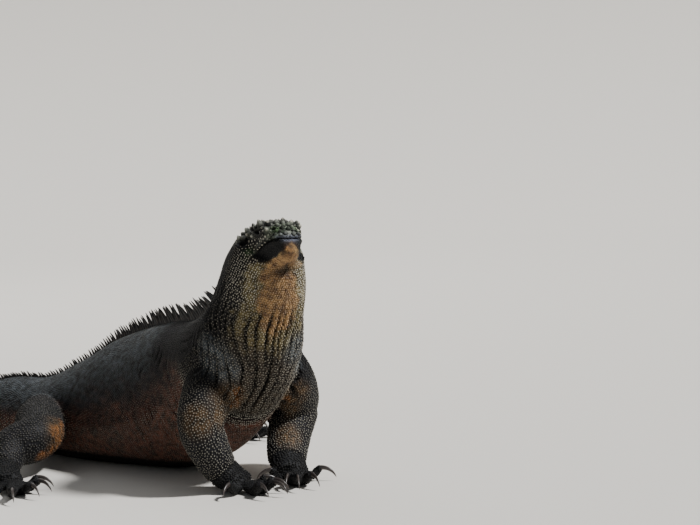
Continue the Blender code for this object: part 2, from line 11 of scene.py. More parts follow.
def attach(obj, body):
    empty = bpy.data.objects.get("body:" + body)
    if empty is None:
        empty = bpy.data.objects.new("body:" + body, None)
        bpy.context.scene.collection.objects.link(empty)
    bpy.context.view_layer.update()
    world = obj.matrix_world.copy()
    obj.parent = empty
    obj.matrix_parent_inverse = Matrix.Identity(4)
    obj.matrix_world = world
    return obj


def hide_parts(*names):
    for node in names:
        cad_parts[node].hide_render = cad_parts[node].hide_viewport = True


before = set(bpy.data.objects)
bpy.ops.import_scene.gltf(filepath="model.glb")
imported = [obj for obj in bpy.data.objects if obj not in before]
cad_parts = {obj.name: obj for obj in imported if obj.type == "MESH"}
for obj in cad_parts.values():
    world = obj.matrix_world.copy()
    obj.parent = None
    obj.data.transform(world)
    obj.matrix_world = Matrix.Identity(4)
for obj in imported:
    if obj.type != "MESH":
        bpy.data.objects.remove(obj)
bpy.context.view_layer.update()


# Hide. The skin of a marine iguana is one loose, leathery sheet from snout to tail tip.
# Smooth tubes follow the middle lines of tail, trunk, neck, head, limbs and toes, and are
# melted together. Lengths are in metres, stations are measured from between the shoulders.
STANCE_CENTRE = np.array((-0.39325, 0.018, 0.0))
# x, y, z of the middle line, half width, height above it, depth below it
TRUNK = (
    (-0.905, 0.034, 0.006, 0.003, 0.005, 0.007),            # tip of the tail
    (-0.820, -0.018, 0.014, 0.006, 0.014, 0.015),
    (-0.720, -0.048, 0.018, 0.009, 0.020, 0.019),
    (-0.620, -0.050, 0.022, 0.012, 0.024, 0.023),
    (-0.520, -0.026, 0.027, 0.017, 0.029, 0.028),
    (-0.420, 0.008, 0.036, 0.025, 0.036, 0.037),
    (-0.345, 0.028, 0.044, 0.034, 0.043, 0.045),            # root of the tail
    (-0.300, 0.037, 0.046, 0.041, 0.042, 0.047),            # hips
    (-0.255, 0.042, 0.046, 0.051, 0.060, 0.051),
    (-0.200, 0.045, 0.046, 0.061, 0.085, 0.053),            # belly
    (-0.150, 0.043, 0.050, 0.065, 0.095, 0.055),
    (-0.100, 0.033, 0.060, 0.063, 0.097, 0.060),            # ribs
    (-0.050, 0.018, 0.085, 0.057, 0.086, 0.067),            # shoulder blades
    (-0.006, 0.004, 0.122, 0.056, 0.061, 0.067),            # chest
    (0.024, -0.004, 0.158, 0.051, 0.046, 0.066),
    (0.041, -0.010, 0.192, 0.043, 0.041, 0.058),            # throat
    (0.054, -0.014, 0.222, 0.0385, 0.039, 0.053),
    (0.064, -0.018, 0.246, 0.032, 0.028, 0.047),            # inside the back of the head
)
HEAD_CENTRE = (0.084, -0.026, 0.2465)
HEAD_TURN = (-30, 17, -3)              # yaw, pitch and roll in degrees
# The head in its own frame, x to the snout: x, y, z, half width, height above, depth below,
# roundness of its upper half
HEAD = (
    (-0.047, 0, 0, 0.022, 0.015, 0.018, 0.9),
    (-0.038, 0, 0, 0.029, 0.020, 0.027, 0.8),
    (-0.024, 0, 0, 0.030, 0.0205, 0.032, 0.65),             # jowls
    (-0.008, 0, 0, 0.0252, 0.0205, 0.030, 0.55),
    (0.006, 0, 0, 0.0200, 0.0195, 0.028, 0.6),              # eyes
    (0.018, 0, 0, 0.0157, 0.0158, 0.0265, 0.8),
    (0.027, 0, 0, 0.0136, 0.0095, 0.0235, 1.0),             # nostrils
    (0.034, 0, 0, 0.0095, 0.0010, 0.0185, 1.0),             # lips
)
SIDES = ("right", "left")
WRIST = {"arm_right": 3.9, "arm_left": 4.15, "leg_right": 3.85, "leg_left": 3.85}  # point of the limb's line
# Middle line of each limb from the shoulder or hip to the palm or sole
ARM_LINES = {
    "right": ((0.000, -0.026, 0.116), (0.002, -0.044, 0.100), (0.0062, -0.0676, 0.071),
              (0.0122, -0.0642, 0.045), (0.0195, -0.052, 0.0185), (0.041, -0.050, 0.0095)),
    "left": ((0.030, 0.026, 0.124), (0.0345, 0.0463, 0.096), (0.026, 0.067, 0.066),
             (0.029, 0.0486, 0.042), (0.0415, 0.025, 0.0185), (0.060, 0.010, 0.0095)),
}
LEG_LINES = {
    "right": ((-0.290, 0.016, 0.045), (-0.262, -0.022, 0.046), (-0.2293, -0.0623, 0.040),
              (-0.236, -0.094, 0.033), (-0.219, -0.122, 0.0175), (-0.196, -0.138, 0.0095)),
    "left": ((-0.290, 0.060, 0.045), (-0.248, 0.094, 0.046), (-0.196, 0.118, 0.044),
             (-0.208, 0.148, 0.033), (-0.184, 0.172, 0.0175), (-0.154, 0.176, 0.0095)),
}
ARM_GIRTH = (
    (0.026, 0.027), (0.027, 0.026), (0.0230, 0.0225),
    (0.0225, 0.0200), (0.0200, 0.0155), (0.0175, 0.0090),
)
LEG_GIRTH = (
    (0.028, 0.028), (0.028, 0.027), (0.0245, 0.0255),
    (0.0210, 0.021), (0.0160, 0.0120), (0.0155, 0.0090),
)
HAND_HEADING = {"right": -8, "left": -45}
FOOT_HEADING = {"right": -22, "left": 8}
# Digits, inner to outer: turn away from the heading, length and radius of the toe
HAND_DIGITS = (
    (55, 0.014, 0.0046), (25, 0.027, 0.0049), (3, 0.036, 0.0051),
    (-18, 0.034, 0.0050), (-70, 0.020, 0.0045),
)
HAND_SWING = {"right": (-6, -5), "left": (34, -8)}  # added to the turns of the first two digits
FOOT_DIGITS = (
    (50, 0.022, 0.0044), (24, 0.033, 0.0047), (3, 0.043, 0.0050),
    (-20, 0.054, 0.0050), (-66, 0.030, 0.0045),
)
# Middle line of a toe beyond the palm: share of its length, height, share of its radius
TOE_LINE = (
    (-0.25, 0.0090, 0.9), (0.12, 0.0062, 1.0), (0.48, 0.0046, 0.97),
    (0.80, 0.0118, 0.97), (1.0, 0.0132, 0.74),
)
PALM_REACH = 0.010
MELT_GRID = 0.0020                     # size of the faces of the melted hide
HEAD_ZONE = 0.060                      # reach of the finest faces round the head's centre
FORE_ZONE = (0.395, 0.500)             # x beyond which, and up to which, faces are halved


def smooth_rows(rows, steps):
    """Run a smooth curve through rows of numbers, with the given steps from row to row."""
    rows = np.array(rows, dtype=float)
    ends = np.vstack([2 * rows[0] - rows[1], rows, 2 * rows[-1] - rows[-2]])
    result = []
    for a, b, c, d in zip(ends, ends[1:], ends[2:], ends[3:]):
        for t in np.arange(steps) / steps:
            bend = (2 * a - 5 * b + 4 * c - d) * t ** 2 + (3 * b - a - 3 * c + d) * t ** 3
            result.append(0.5 * (2 * b + (c - a) * t + bend))
    result.append(rows[-1])
    return np.array(result)


def unit(vectors):
    """Vectors of length one."""
    return vectors / np.linalg.norm(vectors, axis=-1, keepdims=True)


class Tube:
    """A stretch of body: stations along its middle line, their directions and their girth."""

    def __init__(self, rows, steps, patch, upward=(0, 0, 1), ridge=1.0, frame_matrix=None):
        rows = smooth_rows(rows, steps)
        self.patch, self.ridge = patch, ridge
        self.points, self.girth = rows[:, :3], rows[:, 3:6]
        self.roundness = rows[:, 6] if rows.shape[1] > 6 else np.ones(len(rows))
        self.forward = unit(np.gradient(self.points, axis=0))
        self.left = unit(np.cross(np.array(upward, dtype=float), self.forward))
        self.upper = np.cross(self.forward, self.left)
        if frame_matrix is not None:
            turn = np.array(frame_matrix.to_3x3())
            self.points = self.points @ turn.T + np.array(frame_matrix.translation)
            self.forward, self.left, self.upper = (v @ turn.T for v in (self.forward, self.left, self.upper))
        self.points = self.points - STANCE_CENTRE
        steps_walked = np.linalg.norm(np.diff(self.points, axis=0), axis=1)
        self.walked = np.r_[0, np.cumsum(steps_walked)]

    def station(self, distance):
        """Point, forward, left, upper, girth and roundness at a distance along the tube."""
        tables = (self.points, self.forward, self.left, self.upper, self.girth, self.roundness[:, None])
        return [np.array([np.interp(distance, self.walked, column) for column in table.T]) for table in tables]

    def ring(self, station, turns):
        """Points round a station; turn 0 is the top, and turns grow towards the left."""
        point, _, left, upper, (width, above, below), roundness = station
        side, height = np.sin(turns), np.cos(turns)
        side = np.where(height > 0, np.sign(side) * abs(side) ** (self.ridge * roundness), side)
        height = np.where(height > 0, abs(height) ** roundness, height)
        reach = np.where(height > 0, above, below)
        return point + np.outer(width * side, left) + np.outer(reach * height, upper)

    def coordinates(self, places):
        """Distance along the tube, turn round it and height over its surface, for points near it."""
        found = []
        for some in np.array_split(places, max(1, len(places) // 4000)):
            offset = some[:, None] - self.points[None]
            nearest = (offset ** 2).sum(2).argmin(1)
            offset = offset[np.arange(len(some)), nearest]
            width, above, below = self.girth[nearest].T
            side = (offset * self.left[nearest]).sum(1) / width
            rise = (offset * self.upper[nearest]).sum(1)
            rise = rise / np.where(rise > 0, above, below)
            ahead = (offset * self.forward[nearest]).sum(1)
            power = 2 / np.where(rise > 0, self.roundness[nearest], 1.0)
            reach = (abs(side) ** power + abs(rise) ** power) ** (1 / power)
            round_size = np.hypot(side * width, rise * np.where(rise > 0, above, below)) / np.maximum(reach, 1e-6)
            height = (reach - 1) * round_size
            at_end = (nearest == 0) | (nearest == len(self.points) - 1)
            height = np.where(at_end, np.hypot(np.maximum(height, 0), ahead), height)
            found.append(np.c_[self.walked[nearest] + ahead, np.arctan2(side, rise), height])
        return np.concatenate(found).T

    def shell(self, sides):
        """Corner points and faces of the closed tube."""
        turns = np.linspace(0, 2 * math.pi, sides, endpoint=False)
        rings = [self.ring(station, turns) for station in zip(self.points, self.forward, self.left, self.upper,
                                                                self.girth, self.roundness)]
        faces = []
        for start in range(0, (len(rings) - 1) * sides, sides):
            for number in range(sides):
                following = (number + 1) % sides
                faces.append((start + number, start + sides + number, start + sides + following, start + following))
        faces.append(tuple(range(sides)))
        faces.append(tuple(range(len(rings) * sides - 1, (len(rings) - 1) * sides - 1, -1)))
        return np.concatenate(rings), faces


def mesh_object(name, corners, faces):
    """An object of the scene from corner points and faces."""
    data = bpy.data.meshes.new(name)
    data.from_pydata([tuple(corner) for corner in corners], [], faces)
    item = bpy.data.objects.new(name, data)
    bpy.context.scene.collection.objects.link(item)
    return item


yaw, pitch, roll = (math.radians(angle) for angle in HEAD_TURN)
head_turn = Matrix.Rotation(yaw, 4, "Z") @ Matrix.Rotation(-pitch, 4, "Y") @ Matrix.Rotation(roll, 4, "X")
head_frame = Matrix.Translation(HEAD_CENTRE) @ head_turn
# Each tube has its own patch of the unwrapped hide: left, bottom, right, top
tubes = {
    "trunk": Tube(TRUNK, 10, (0.0, 0.0, 1.0, 0.36), ridge=1.12),
    "head": Tube(HEAD, 8, (0.0, 0.38, 0.24, 0.60), frame_matrix=head_frame),
}
claw_roots = {}
for row, (limb, lines, girth, kind, headings, digits) in enumerate((
    ("arm", ARM_LINES, ARM_GIRTH, "hand", HAND_HEADING, HAND_DIGITS),
    ("leg", LEG_LINES, LEG_GIRTH, "foot", FOOT_HEADING, FOOT_DIGITS),
)):
    for column, side in enumerate(SIDES):
        rows = [(*point, wide, deep, deep) for point, (wide, deep) in zip(lines[side], girth)]
        start = 0.26 + 0.36 * column
        patch = (start, 0.38 + 0.16 * row, start + 0.34, 0.52 + 0.16 * row)
        tubes[f"{limb}_{side}"] = Tube(rows, 8, patch, upward=(0.4, 0.1, 1.0))
        outward = -1 if side == "right" else 1
        palm = np.array(lines[side][-1])
        for number, (turn, length, radius) in enumerate(digits, 1):
            if kind == "hand" and number <= len(HAND_SWING[side]):
                turn += HAND_SWING[side][number - 1]
            angle = math.radians(headings[side] - outward * turn)
            ahead = np.array([math.cos(angle), math.sin(angle), 0.0])
            rows = []
            for share, height, thick in TOE_LINE:
                point = palm + ahead * (PALM_REACH + length * share)
                rows.append((point[0], point[1], height, radius * thick, radius * thick, radius * thick))
            start = 0.10 * (number - 1) + 0.5 * column
            patch = (start, 0.72 + 0.13 * row, start + 0.09, 0.84 + 0.13 * row)
            toe = Tube(rows, 4, patch)
            tubes[f"{kind}_{side}_{number}"] = toe
            claw_roots[f"{kind}_{side}_{number}"] = (toe.points[-1], ahead, toe.left[-1])

corners, faces = [], []
for name, tube in tubes.items():
    sides = {"trunk": 72, "head": 40}.get(name, 28)
    points, rounds = tube.shell(sides)
    first = sum(len(block) for block in corners)
    corners.append(points)
    faces += [tuple(first + corner for corner in face) for face in rounds]
hide = mesh_object("hide", np.concatenate(corners), faces)
remesh = hide.modifiers.new("melt", "REMESH")
remesh.mode = "VOXEL"
remesh.voxel_size = MELT_GRID
smooth = hide.modifiers.new("smooth", "SMOOTH")
smooth.iterations = 8
smooth.factor = 0.5
hide.data = bpy.data.meshes.new_from_object(hide.evaluated_get(bpy.context.evaluated_depsgraph_get()))
hide.modifiers.clear()

fine = bmesh.new()
fine.from_mesh(hide.data)
head_middle = Vector(HEAD_CENTRE) - Vector(STANCE_CENTRE)
for zone in ("fore", "head"):
    chosen = set()
    for face in fine.faces:
        middle = face.calc_center_median()
        near_head = (middle - head_middle).length < HEAD_ZONE and middle.z > 0.205
        if near_head if zone == "head" else FORE_ZONE[0] < middle.x:
            chosen.update(face.edges)
    bmesh.ops.subdivide_edges(fine, edges=list(chosen), cuts=1, use_grid_fill=True)
    loosened = [vert for vert in fine.verts if vert.co.x > FORE_ZONE[0]]
    for _ in range(2):
        bmesh.ops.smooth_vert(fine, verts=loosened, factor=0.5, use_axis_x=True, use_axis_y=True, use_axis_z=True)
fine.to_mesh(hide.data)
fine.free()


def numbers_of(data, kind, name="co"):
    """Places or normals of a mesh's corner points."""
    values = np.empty(len(data) * 3)
    data.foreach_get(name, values) if kind == "places" else data.foreach_get("vector", values)
    return values.reshape(-1, 3)


def fade(value, start, end):
    """0 at start and 1 at end, eased between."""
    share = np.clip((value - start) / (end - start), 0, 1)
    return share * share * (3 - 2 * share)


def ripple(places, size, seed):
    """Soft irregular waves between about -1 and 1, of a given length."""
    draw = np.random.default_rng(seed)
    total = np.zeros(len(places))
    for _ in range(6):
        direction = unit(draw.normal(size=3))
        length = size * draw.uniform(0.7, 1.5)
        total += np.sin(places @ direction * (2 * math.pi / length) + draw.uniform(0, 2 * math.pi))
    return total / 2.6


def bell(value, middle, width):
    """1 at the middle, falling off to both sides."""
    return np.exp(-((value - middle) / width) ** 2)


def in_head(places):
    """The same places in the head's own frame."""
    turn = np.array(head_frame.to_3x3())
    return (places + STANCE_CENTRE - np.array(head_frame.translation)) @ turn


def trunk_place(places):
    """Where points lie round the trunk: x of the middle line, angle from the midline below, height.

    The angle runs from -pi to pi and is negative on the right side of the animal.
    """
    along, turn, height = tubes["trunk"].coordinates(places)
    line_x = np.interp(along, tubes["trunk"].walked, tubes["trunk"].points[:, 0]) + STANCE_CENTRE[0]
    return line_x, np.where(turn < 0, -math.pi, math.pi) - turn, height


# Folds. Loose hide hangs in lengthwise pleats from jaw to breast, closes in one crease between
# the arms, and creases round flank, elbows and wrists. Each fold is a narrow valley pressed in, its
# colour darkened as painted shade in the valley.
PLEAT_DEPTH = 0.0040
PLEAT_ANGLE = 0.21                     # radians round the throat from pleat to pleat
PLEAT_MIDDLE = -0.27                   # angle of the midline of throat and breast, as the head is turned
# x of the middle line, share of their spacing the pleats have left there
PLEAT_SPREAD = ((-0.030, 0.50), (0.006, 0.42), (0.020, 0.58), (0.036, 0.88), (0.056, 1.0))
BREAST_EDGE = -0.012                   # x of the middle line where the loose skin of the breast ends
FLANK_FOLD_STEP = 0.0105               # from fold to fold behind the shoulder
EYE = (0.0060, 0.0148, 0.0102)          # centre of the left eyeball in the head's frame
EYE_RADIUS = 0.0062
EYE_OPENING = (0.0056, 0.0034)         # half length and half height between the lids
NOSTRIL = (0.0225, 0.0120, 0.0090)     # left nostril in the head's frame
# Degrees from straight ahead, height of the line of the mouth in the head's frame
MOUTH = (
    (0, -0.0031), (10, -0.0033), (20, -0.0020), (36, -0.0012), (59, -0.0024), (80, -0.0046),
    (91, -0.0066), (95, -0.0125), (98, -0.0150),
)
EARDRUM = (-0.0163, 0.0280, 0.0070)



def at_mouth_line(local):
    """For points in the head's frame: degrees from straight ahead, depth below the line of the mouth."""
    heading = np.degrees(np.arctan2(local[:, 1], local[:, 0]))
    angle, height = np.array(MOUTH).T
    return abs(heading), np.interp(abs(heading), angle, height) - local[:, 2]


places = numbers_of(hide.data.vertices, "places")
normals = numbers_of(hide.data.vertex_normals, "normals")
line_x, front, off_trunk = trunk_place(places)
local = in_head(places)
on_head = fade(-np.linalg.norm(local, axis=1), -0.062, -0.052) * fade(local[:, 2], -0.034, -0.026)
spread_x, spread_share = np.array(PLEAT_SPREAD).T
closing = np.interp(line_x, spread_x, spread_share)
phase = math.pi / PLEAT_ANGLE * (front - PLEAT_MIDDLE) / closing
phase += 0.9 * np.sin(5.1 * front + 1.0) + 0.5 * np.sin(11.3 * front + 2.0)
phase += 0.8 * ripple(places, 0.09, 3) + 0.28 * ripple(places, 0.028, 4)
valley = (1 - abs(np.sin(phase))) ** 1.6
odd = np.round(phase / math.pi) % 2
strength = (1 - fade(abs(front), 1.8, 2.6)) * fade(line_x, BREAST_EDGE - 0.004, 0.004)
from_chin = abs(front - PLEAT_MIDDLE)
fold_start = 0.044 + 0.010 * fade(from_chin, 0.35, 0.60) - 0.008 * fade(from_chin, 0.80, 1.1)
strength *= 1 - fade(line_x, fold_start, fold_start + 0.008)
strength *= 1 - odd * (1 - fade(closing, 0.5, 0.8))
strength *= (1 - fade(off_trunk, 0.006, 0.016)) * np.clip(0.8 + 0.5 * ripple(places, 0.05, 9), 0.2, 1.25)
press = PLEAT_DEPTH * valley * strength
# Painted shade: share of darkening in the colour of each pleat's valley
folded = 1.1 * valley ** (1.2 - 0.5 * fade(abs(front - PLEAT_MIDDLE), 0.3, 0.6)) * strength

crease = bell(front, PLEAT_MIDDLE, 0.035) * bell(line_x, 0.010, 0.016)
edge = bell(line_x + 0.002 * ripple(places, 0.03, 6), BREAST_EDGE, 0.0035) * (1 - fade(abs(front), 0.75, 1.1))
edge *= 1 - fade(off_trunk, 0.004, 0.010)
press += 0.0040 * crease + 0.0034 * edge
# Painted shade along the crease between the arms and under the breast's edge
folded += 0.9 * crease + 0.8 * edge

behind_shoulder = bell(line_x, -0.062, 0.040) * fade(abs(front), 0.75, 1.2) * (1 - fade(abs(front), 2.1, 2.6))
fold_phase = math.pi * line_x / FLANK_FOLD_STEP - 1.1 * abs(front) + 1.7 * ripple(places, 0.05, 5)
flank_valley = (1 - abs(np.sin(fold_phase))) ** 1.6 * behind_shoulder * (1 - fade(off_trunk, 0.004, 0.010))
flank_valley *= np.clip(0.35 + 0.9 * ripple(places, 0.035, 10), 0, 1.2)
press += 0.0024 * flank_valley
# Painted shade in the folds behind the shoulder
folded += 0.7 * flank_valley

for limb in ("arm", "leg"):
    for side in SIDES:
        tube = tubes[f"{limb}_{side}"]
        along, limb_turn, height = tube.coordinates(places)
        on_limb = 1 - fade(height, 0.002, 0.005)
        wrist = tube.walked[round(WRIST[f"{limb}_{side}"] * 8)]
        cuff = bell(along, wrist + 0.0015 * np.sin(2 * limb_turn), 0.0014) * on_limb
        press += 0.0018 * cuff
        # Painted shade in the wrist creases
        folded += 0.8 * cuff
        elbow = tube.walked[round(2.0 * 8)]
        for shift in (-0.004, 0.003):
            inner = fade(np.cos(limb_turn - (2.4 if side == "right" else -2.4)), 0.1, 0.7)
            press += 0.0011 * bell(along, elbow + shift, 0.0018) * on_limb * inner

toe_names = [name for name in tubes if name[-1].isdigit()]
for name in toe_names:
    along, _, height = tubes[name].coordinates(places)
    joints = (1 - abs(np.sin(math.pi * along / 0.0062))) ** 2
    press += 0.0006 * joints * (1 - fade(height, 0.0015, 0.003))
places = places - normals * press[:, None]

# On the head: domes over the eyes with the lids' slit, nostrils, mouth, lips and eardrums
local = in_head(places)
outward = np.zeros(len(places))
heading, below_mouth = at_mouth_line(local)
at_mouth = on_head * (1 - fade(heading, 94, 98))
outward -= 0.0026 * at_mouth * bell(below_mouth, 0, 0.0008)
outward += 0.0011 * at_mouth * bell(below_mouth, -0.0024, 0.0017)
outward += 0.0013 * at_mouth * bell(below_mouth, 0.0030, 0.0022)
# Painted shade in the slit of the mouth
folded += 0.9 * at_mouth * bell(below_mouth, 0, 0.0007)
gullet = np.exp(-(((local - (0.0100, 0.0, -0.0302)) / (0.0055, 0.0150, 0.0045)) ** 2).sum(1))
gullet += 0.8 * np.exp(-(((local - (0.0170, 0.0015, -0.0280)) / (0.0055, 0.0045, 0.0045)) ** 2).sum(1))
outward -= 0.0032 * gullet
# Painted shade in the hollow between jaw and throat
folded += 0.6 * gullet
for side in (-1, 1):
    eye = local - np.array(EYE) * (1, side, 1)
    facing = unit(np.array((0.15, side * 0.95, 0.28)))
    ahead = unit(np.array((1.0, 0, 0)) - facing * facing[0])
    across = np.cross(facing, ahead)
    deep = eye @ facing
    level = np.hypot((eye @ ahead) / EYE_OPENING[0], (eye @ across) / EYE_OPENING[1])
    near = on_head * (deep > -0.002)
    outward += 0.0030 * near * (1 - fade(level, 1.05, 2.6)) * fade(level, 0.80, 1.0)
    outward += 0.0008 * near * bell(level, 1.12, 0.14)
    outward -= 0.0060 * near * (1 - fade(level, 0.70, 0.98))
    brow = bell(eye @ ahead, -0.001, 0.008) * bell(local[:, 2] - EYE[2], 0.0065, 0.0022) * (local[:, 1] * side > 0)
    outward += 0.0014 * on_head * brow
    nose = local - np.array(NOSTRIL) * (1, side, 1)
    from_nose = np.linalg.norm(nose * (0.85, 1.0, 1.15), axis=1)
    outward += 0.0013 * on_head * bell(from_nose, 0.0036, 0.0013)
    outward -= 0.0030 * on_head * (1 - fade(from_nose, 0.0012, 0.0027))
    drum = np.linalg.norm((local - np.array(EARDRUM) * (1, side, 1)) * (0.8, 0.6, 1.1), axis=1)
    outward -= 0.0022 * on_head * (1 - fade(drum, 0.0025, 0.0052))
places = places + normals * outward[:, None]
places[:, 2] = np.maximum(places[:, 2], 0.0)
hide.data.vertices.foreach_set("co", places.ravel())
hide.data.update()
hide.data.shade_smooth()
flesh = [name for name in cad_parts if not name.startswith(("claw", "eye"))]
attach(hide, "root")
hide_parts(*flesh)


# Markings. Charcoal back with a painted blue-grey sheen along its top, slate shoulders, rust flanks,
# earthy breast, tan throat, orange in the armpits, a salt crust on the head with some algae, black lower
# lips, hands and feet, and black painted as shade in the ears, round the eyes, in the nostrils and next to the floor.
# Middle and reach of the patches: x, y, z, radius
SLATE_PATCHES = (
    (0.4115, -0.0712, 0.136, 0.022), (0.4240, -0.0705, 0.124, 0.020), (0.4020, -0.0725, 0.147, 0.016),
    (0.4780, -0.0250, 0.140, 0.022), (0.4650, 0.0040, 0.120, 0.020),
)
OCHRE_PATCHES = (
    (0.4225, -0.0700, 0.090, 0.025), (0.4220, -0.0800, 0.077, 0.016), (0.4451, 0.0112, 0.085, 0.021),
    (0.4330, 0.0180, 0.070, 0.015), (0.4104, -0.1038, 0.077, 0.022), (0.4390, 0.0082, 0.045, 0.019),
    (0.1800, -0.0700, 0.040, 0.024), (0.2220, 0.1000, 0.046, 0.018),
)
ORANGE_PATCHES = (
    (0.4280, -0.0600, 0.102, 0.008), (0.4240, -0.0580, 0.096, 0.008), (0.4190, -0.0558, 0.088, 0.008),
    (0.4360, 0.0090, 0.082, 0.007),
)
KNEE_PATCHES = (
    (0.1860, -0.0730, 0.044, 0.012), (0.1745, -0.0540, 0.044, 0.014), (0.1820, -0.0690, 0.033, 0.014),
    (0.1830, -0.0810, 0.025, 0.012), (0.1830, -0.0930, 0.022, 0.009),
)
# Degrees from straight ahead, depth of the black lower lip there
LIP_DEPTHS = ((0, 0.003), (4, 0.005), (15, 0.0112), (31, 0.0152), (62, 0.0172), (84, 0.0148), (91, 0.0120), (97, 0.0050))
# x of the middle line, half angle of the tan of the throat there
TAN_WIDTHS = ((0.036, 0.15), (0.040, 0.38), (0.047, 0.50), (0.055, 0.46), (0.064, 0.42))


def patches(places, spots):
    """1 in the middle of the nearest spot, 0 beyond its reach."""
    total = np.zeros(len(places))
    for x, y, z, radius in spots:
        total = np.maximum(total, 1 - fade(np.linalg.norm(places - (x, y, z), axis=1), radius * 0.35, radius * 1.15))
    return total


def markings(places):
    """Share of each marking at points of the hide."""
    line_x, front, off_trunk = trunk_place(places)
    from_chin, front = abs(front - PLEAT_MIDDLE), abs(front)
    local = in_head(places)
    _, head_turn, head_height = tubes["head"].coordinates(places)
    ragged = 0.5 * ripple(places, 0.026, 21) + 0.5 * ripple(places, 0.009, 22)
    on_head = (np.linalg.norm(local, axis=1) < 0.060) & (local[:, 2] > -0.030) & (head_height < off_trunk + 0.007)
    heading, below_mouth = at_mouth_line(local)
    limbs, body = np.zeros(len(places)), 1 - fade(off_trunk, 0.006, 0.012)
    # Black hands and feet beyond the wrists, and painted shade on all hide within about 16 mm of the floor, where
    # belly and tail meet the ground
    hands_and_floor_shade = 1 - fade(places[:, 2], 0.010, 0.016)
    for name in WRIST:
        along, _, height = tubes[name].coordinates(places)
        wrist = tubes[name].walked[round(WRIST[name] * 8)]
        body = np.minimum(body, 1 - fade(off_trunk - height, -0.001, 0.006) * (height < 0.02))
        hands_and_floor_shade = np.maximum(hands_and_floor_shade, (height < 0.006) * fade(along, wrist - 0.001, wrist + 0.001))
        share = 0.40 if name.startswith("arm") else 0.10
        limbs = np.maximum(limbs, share * (1 - fade(height, 0.004, 0.012)) * fade(along, 0.02, 0.05))
    found = {}
    on_breast = fade(line_x, BREAST_EDGE - 0.003, BREAST_EDGE + 0.003) * body
    found["earth"] = on_breast * (1 - fade(front + 0.12 * ragged, 0.75, 1.45))
    found["slate_and_sheen"] = np.clip(patches(places, SLATE_PATCHES) * (1 + 0.3 * ragged), 0, 1)
    # Painted sheen: the top of the back is painted lighter blue-grey, as where light glances off it
    back_sheen = fade(front + 0.1 * ragged, 1.6, 2.3) * (1 - fade(line_x, -0.085, -0.045)) * body
    found["slate_and_sheen"] = np.maximum(found["slate_and_sheen"], 0.6 * back_sheen)
    low = 1 - fade(front + 0.15 * ragged, 1.1, 2.15)
    found["rust"] = body * low * (1 - fade(line_x, BREAST_EDGE - 0.010, BREAST_EDGE)) * fade(line_x, -0.52, -0.30)
    tan_x, tan_width = np.array(TAN_WIDTHS).T
    width = np.interp(line_x, tan_x, tan_width)
    throat = (1 - fade(from_chin + 0.08 * ragged, width - 0.10, width + 0.10)) * fade(line_x + 0.003 * ragged, 0.034, 0.040)
    found["olive"] = body * (local[:, 2] < -0.018) * (1 - fade(from_chin + 0.10 * ragged, 0.75, 1.0)) * fade(line_x + 0.003 * ragged, 0.026, 0.036)
    lip_at, lip_depth = np.array(LIP_DEPTHS).T
    lip_end = np.interp(heading, lip_at, lip_depth)
    chin = on_head * fade(below_mouth + 0.001 * ragged, lip_end, lip_end + 0.003) * fade(local[:, 0], -0.010, 0.006)
    found["tan"] = np.clip(np.maximum(throat * (local[:, 2] < -0.018), 0.55 * chin), 0, 1)
    found["olive"] = np.maximum(found["olive"], chin)
    found["ochre"] = np.clip(patches(places, OCHRE_PATCHES) * (0.75 + 0.25 * ragged), 0, 1)
    chin_spot = on_head * np.exp(-((local - (0.0339, -0.002, -0.0137)) ** 2).sum(1) / 0.006 ** 2)
    streaks = np.clip(0.75 + 0.8 * ripple(places * (1, 1, 0.35), 0.007, 23), 0, 1.1)
    knee = patches(places, KNEE_PATCHES) * (0.62 + 0.5 * ragged)
    spots = np.maximum(patches(places, ORANGE_PATCHES) * streaks, np.maximum(0.6 * chin_spot, knee))
    found["orange"] = np.clip(spots, 0, 1)
    crown = (1 - fade(abs(head_turn), 1.0, 1.35)) * fade(local[:, 0], -0.046, -0.034)
    band = bell(below_mouth, -0.0048, 0.0034) * fade(local[:, 0], -0.026, -0.012)
    mottled = 0.72 + 0.4 * ragged + 0.5 * ripple(places, 0.007, 24) + 0.35 * ripple(places, 0.016, 25)
    cheek_middle = local * (1, 0, 1) + np.abs(local) * (0, 1, 0) - (-0.0200, 0.0300, -0.0060)
    cheek_crust = 0.5 * (1 - fade(np.linalg.norm(cheek_middle, axis=1), 0.004, 0.013))
    found["crust"] = np.clip(on_head * np.maximum(np.maximum(crown, band), cheek_crust) * mottled, 0, 1)
    green = np.zeros(len(places))
    for side in (-1, 1):
        for spot, reach in (((0.0250, 0.0105, 0.0075), 0.0100), ((-0.008, 0.0290, -0.006), 0.006)):
            green = np.maximum(green, bell(np.linalg.norm(local - np.array(spot) * (1, side, 1), axis=1), 0, reach))
    found["algae"] = np.clip(green * (0.8 + 0.6 * ragged), 0, 1)
    found["lilac"] = on_head * (1 - fade(heading, 16, 34)) * bell(below_mouth, 0.0, 0.0034)
    black_and_shade = on_head * fade(below_mouth, -0.0007, 0.0005) * (1 - fade(below_mouth, lip_end - 0.0015, lip_end + 0.0015))
    black_and_shade = black_and_shade * fade(heading, 8, 20) * (1 - fade(heading, 96, 99))
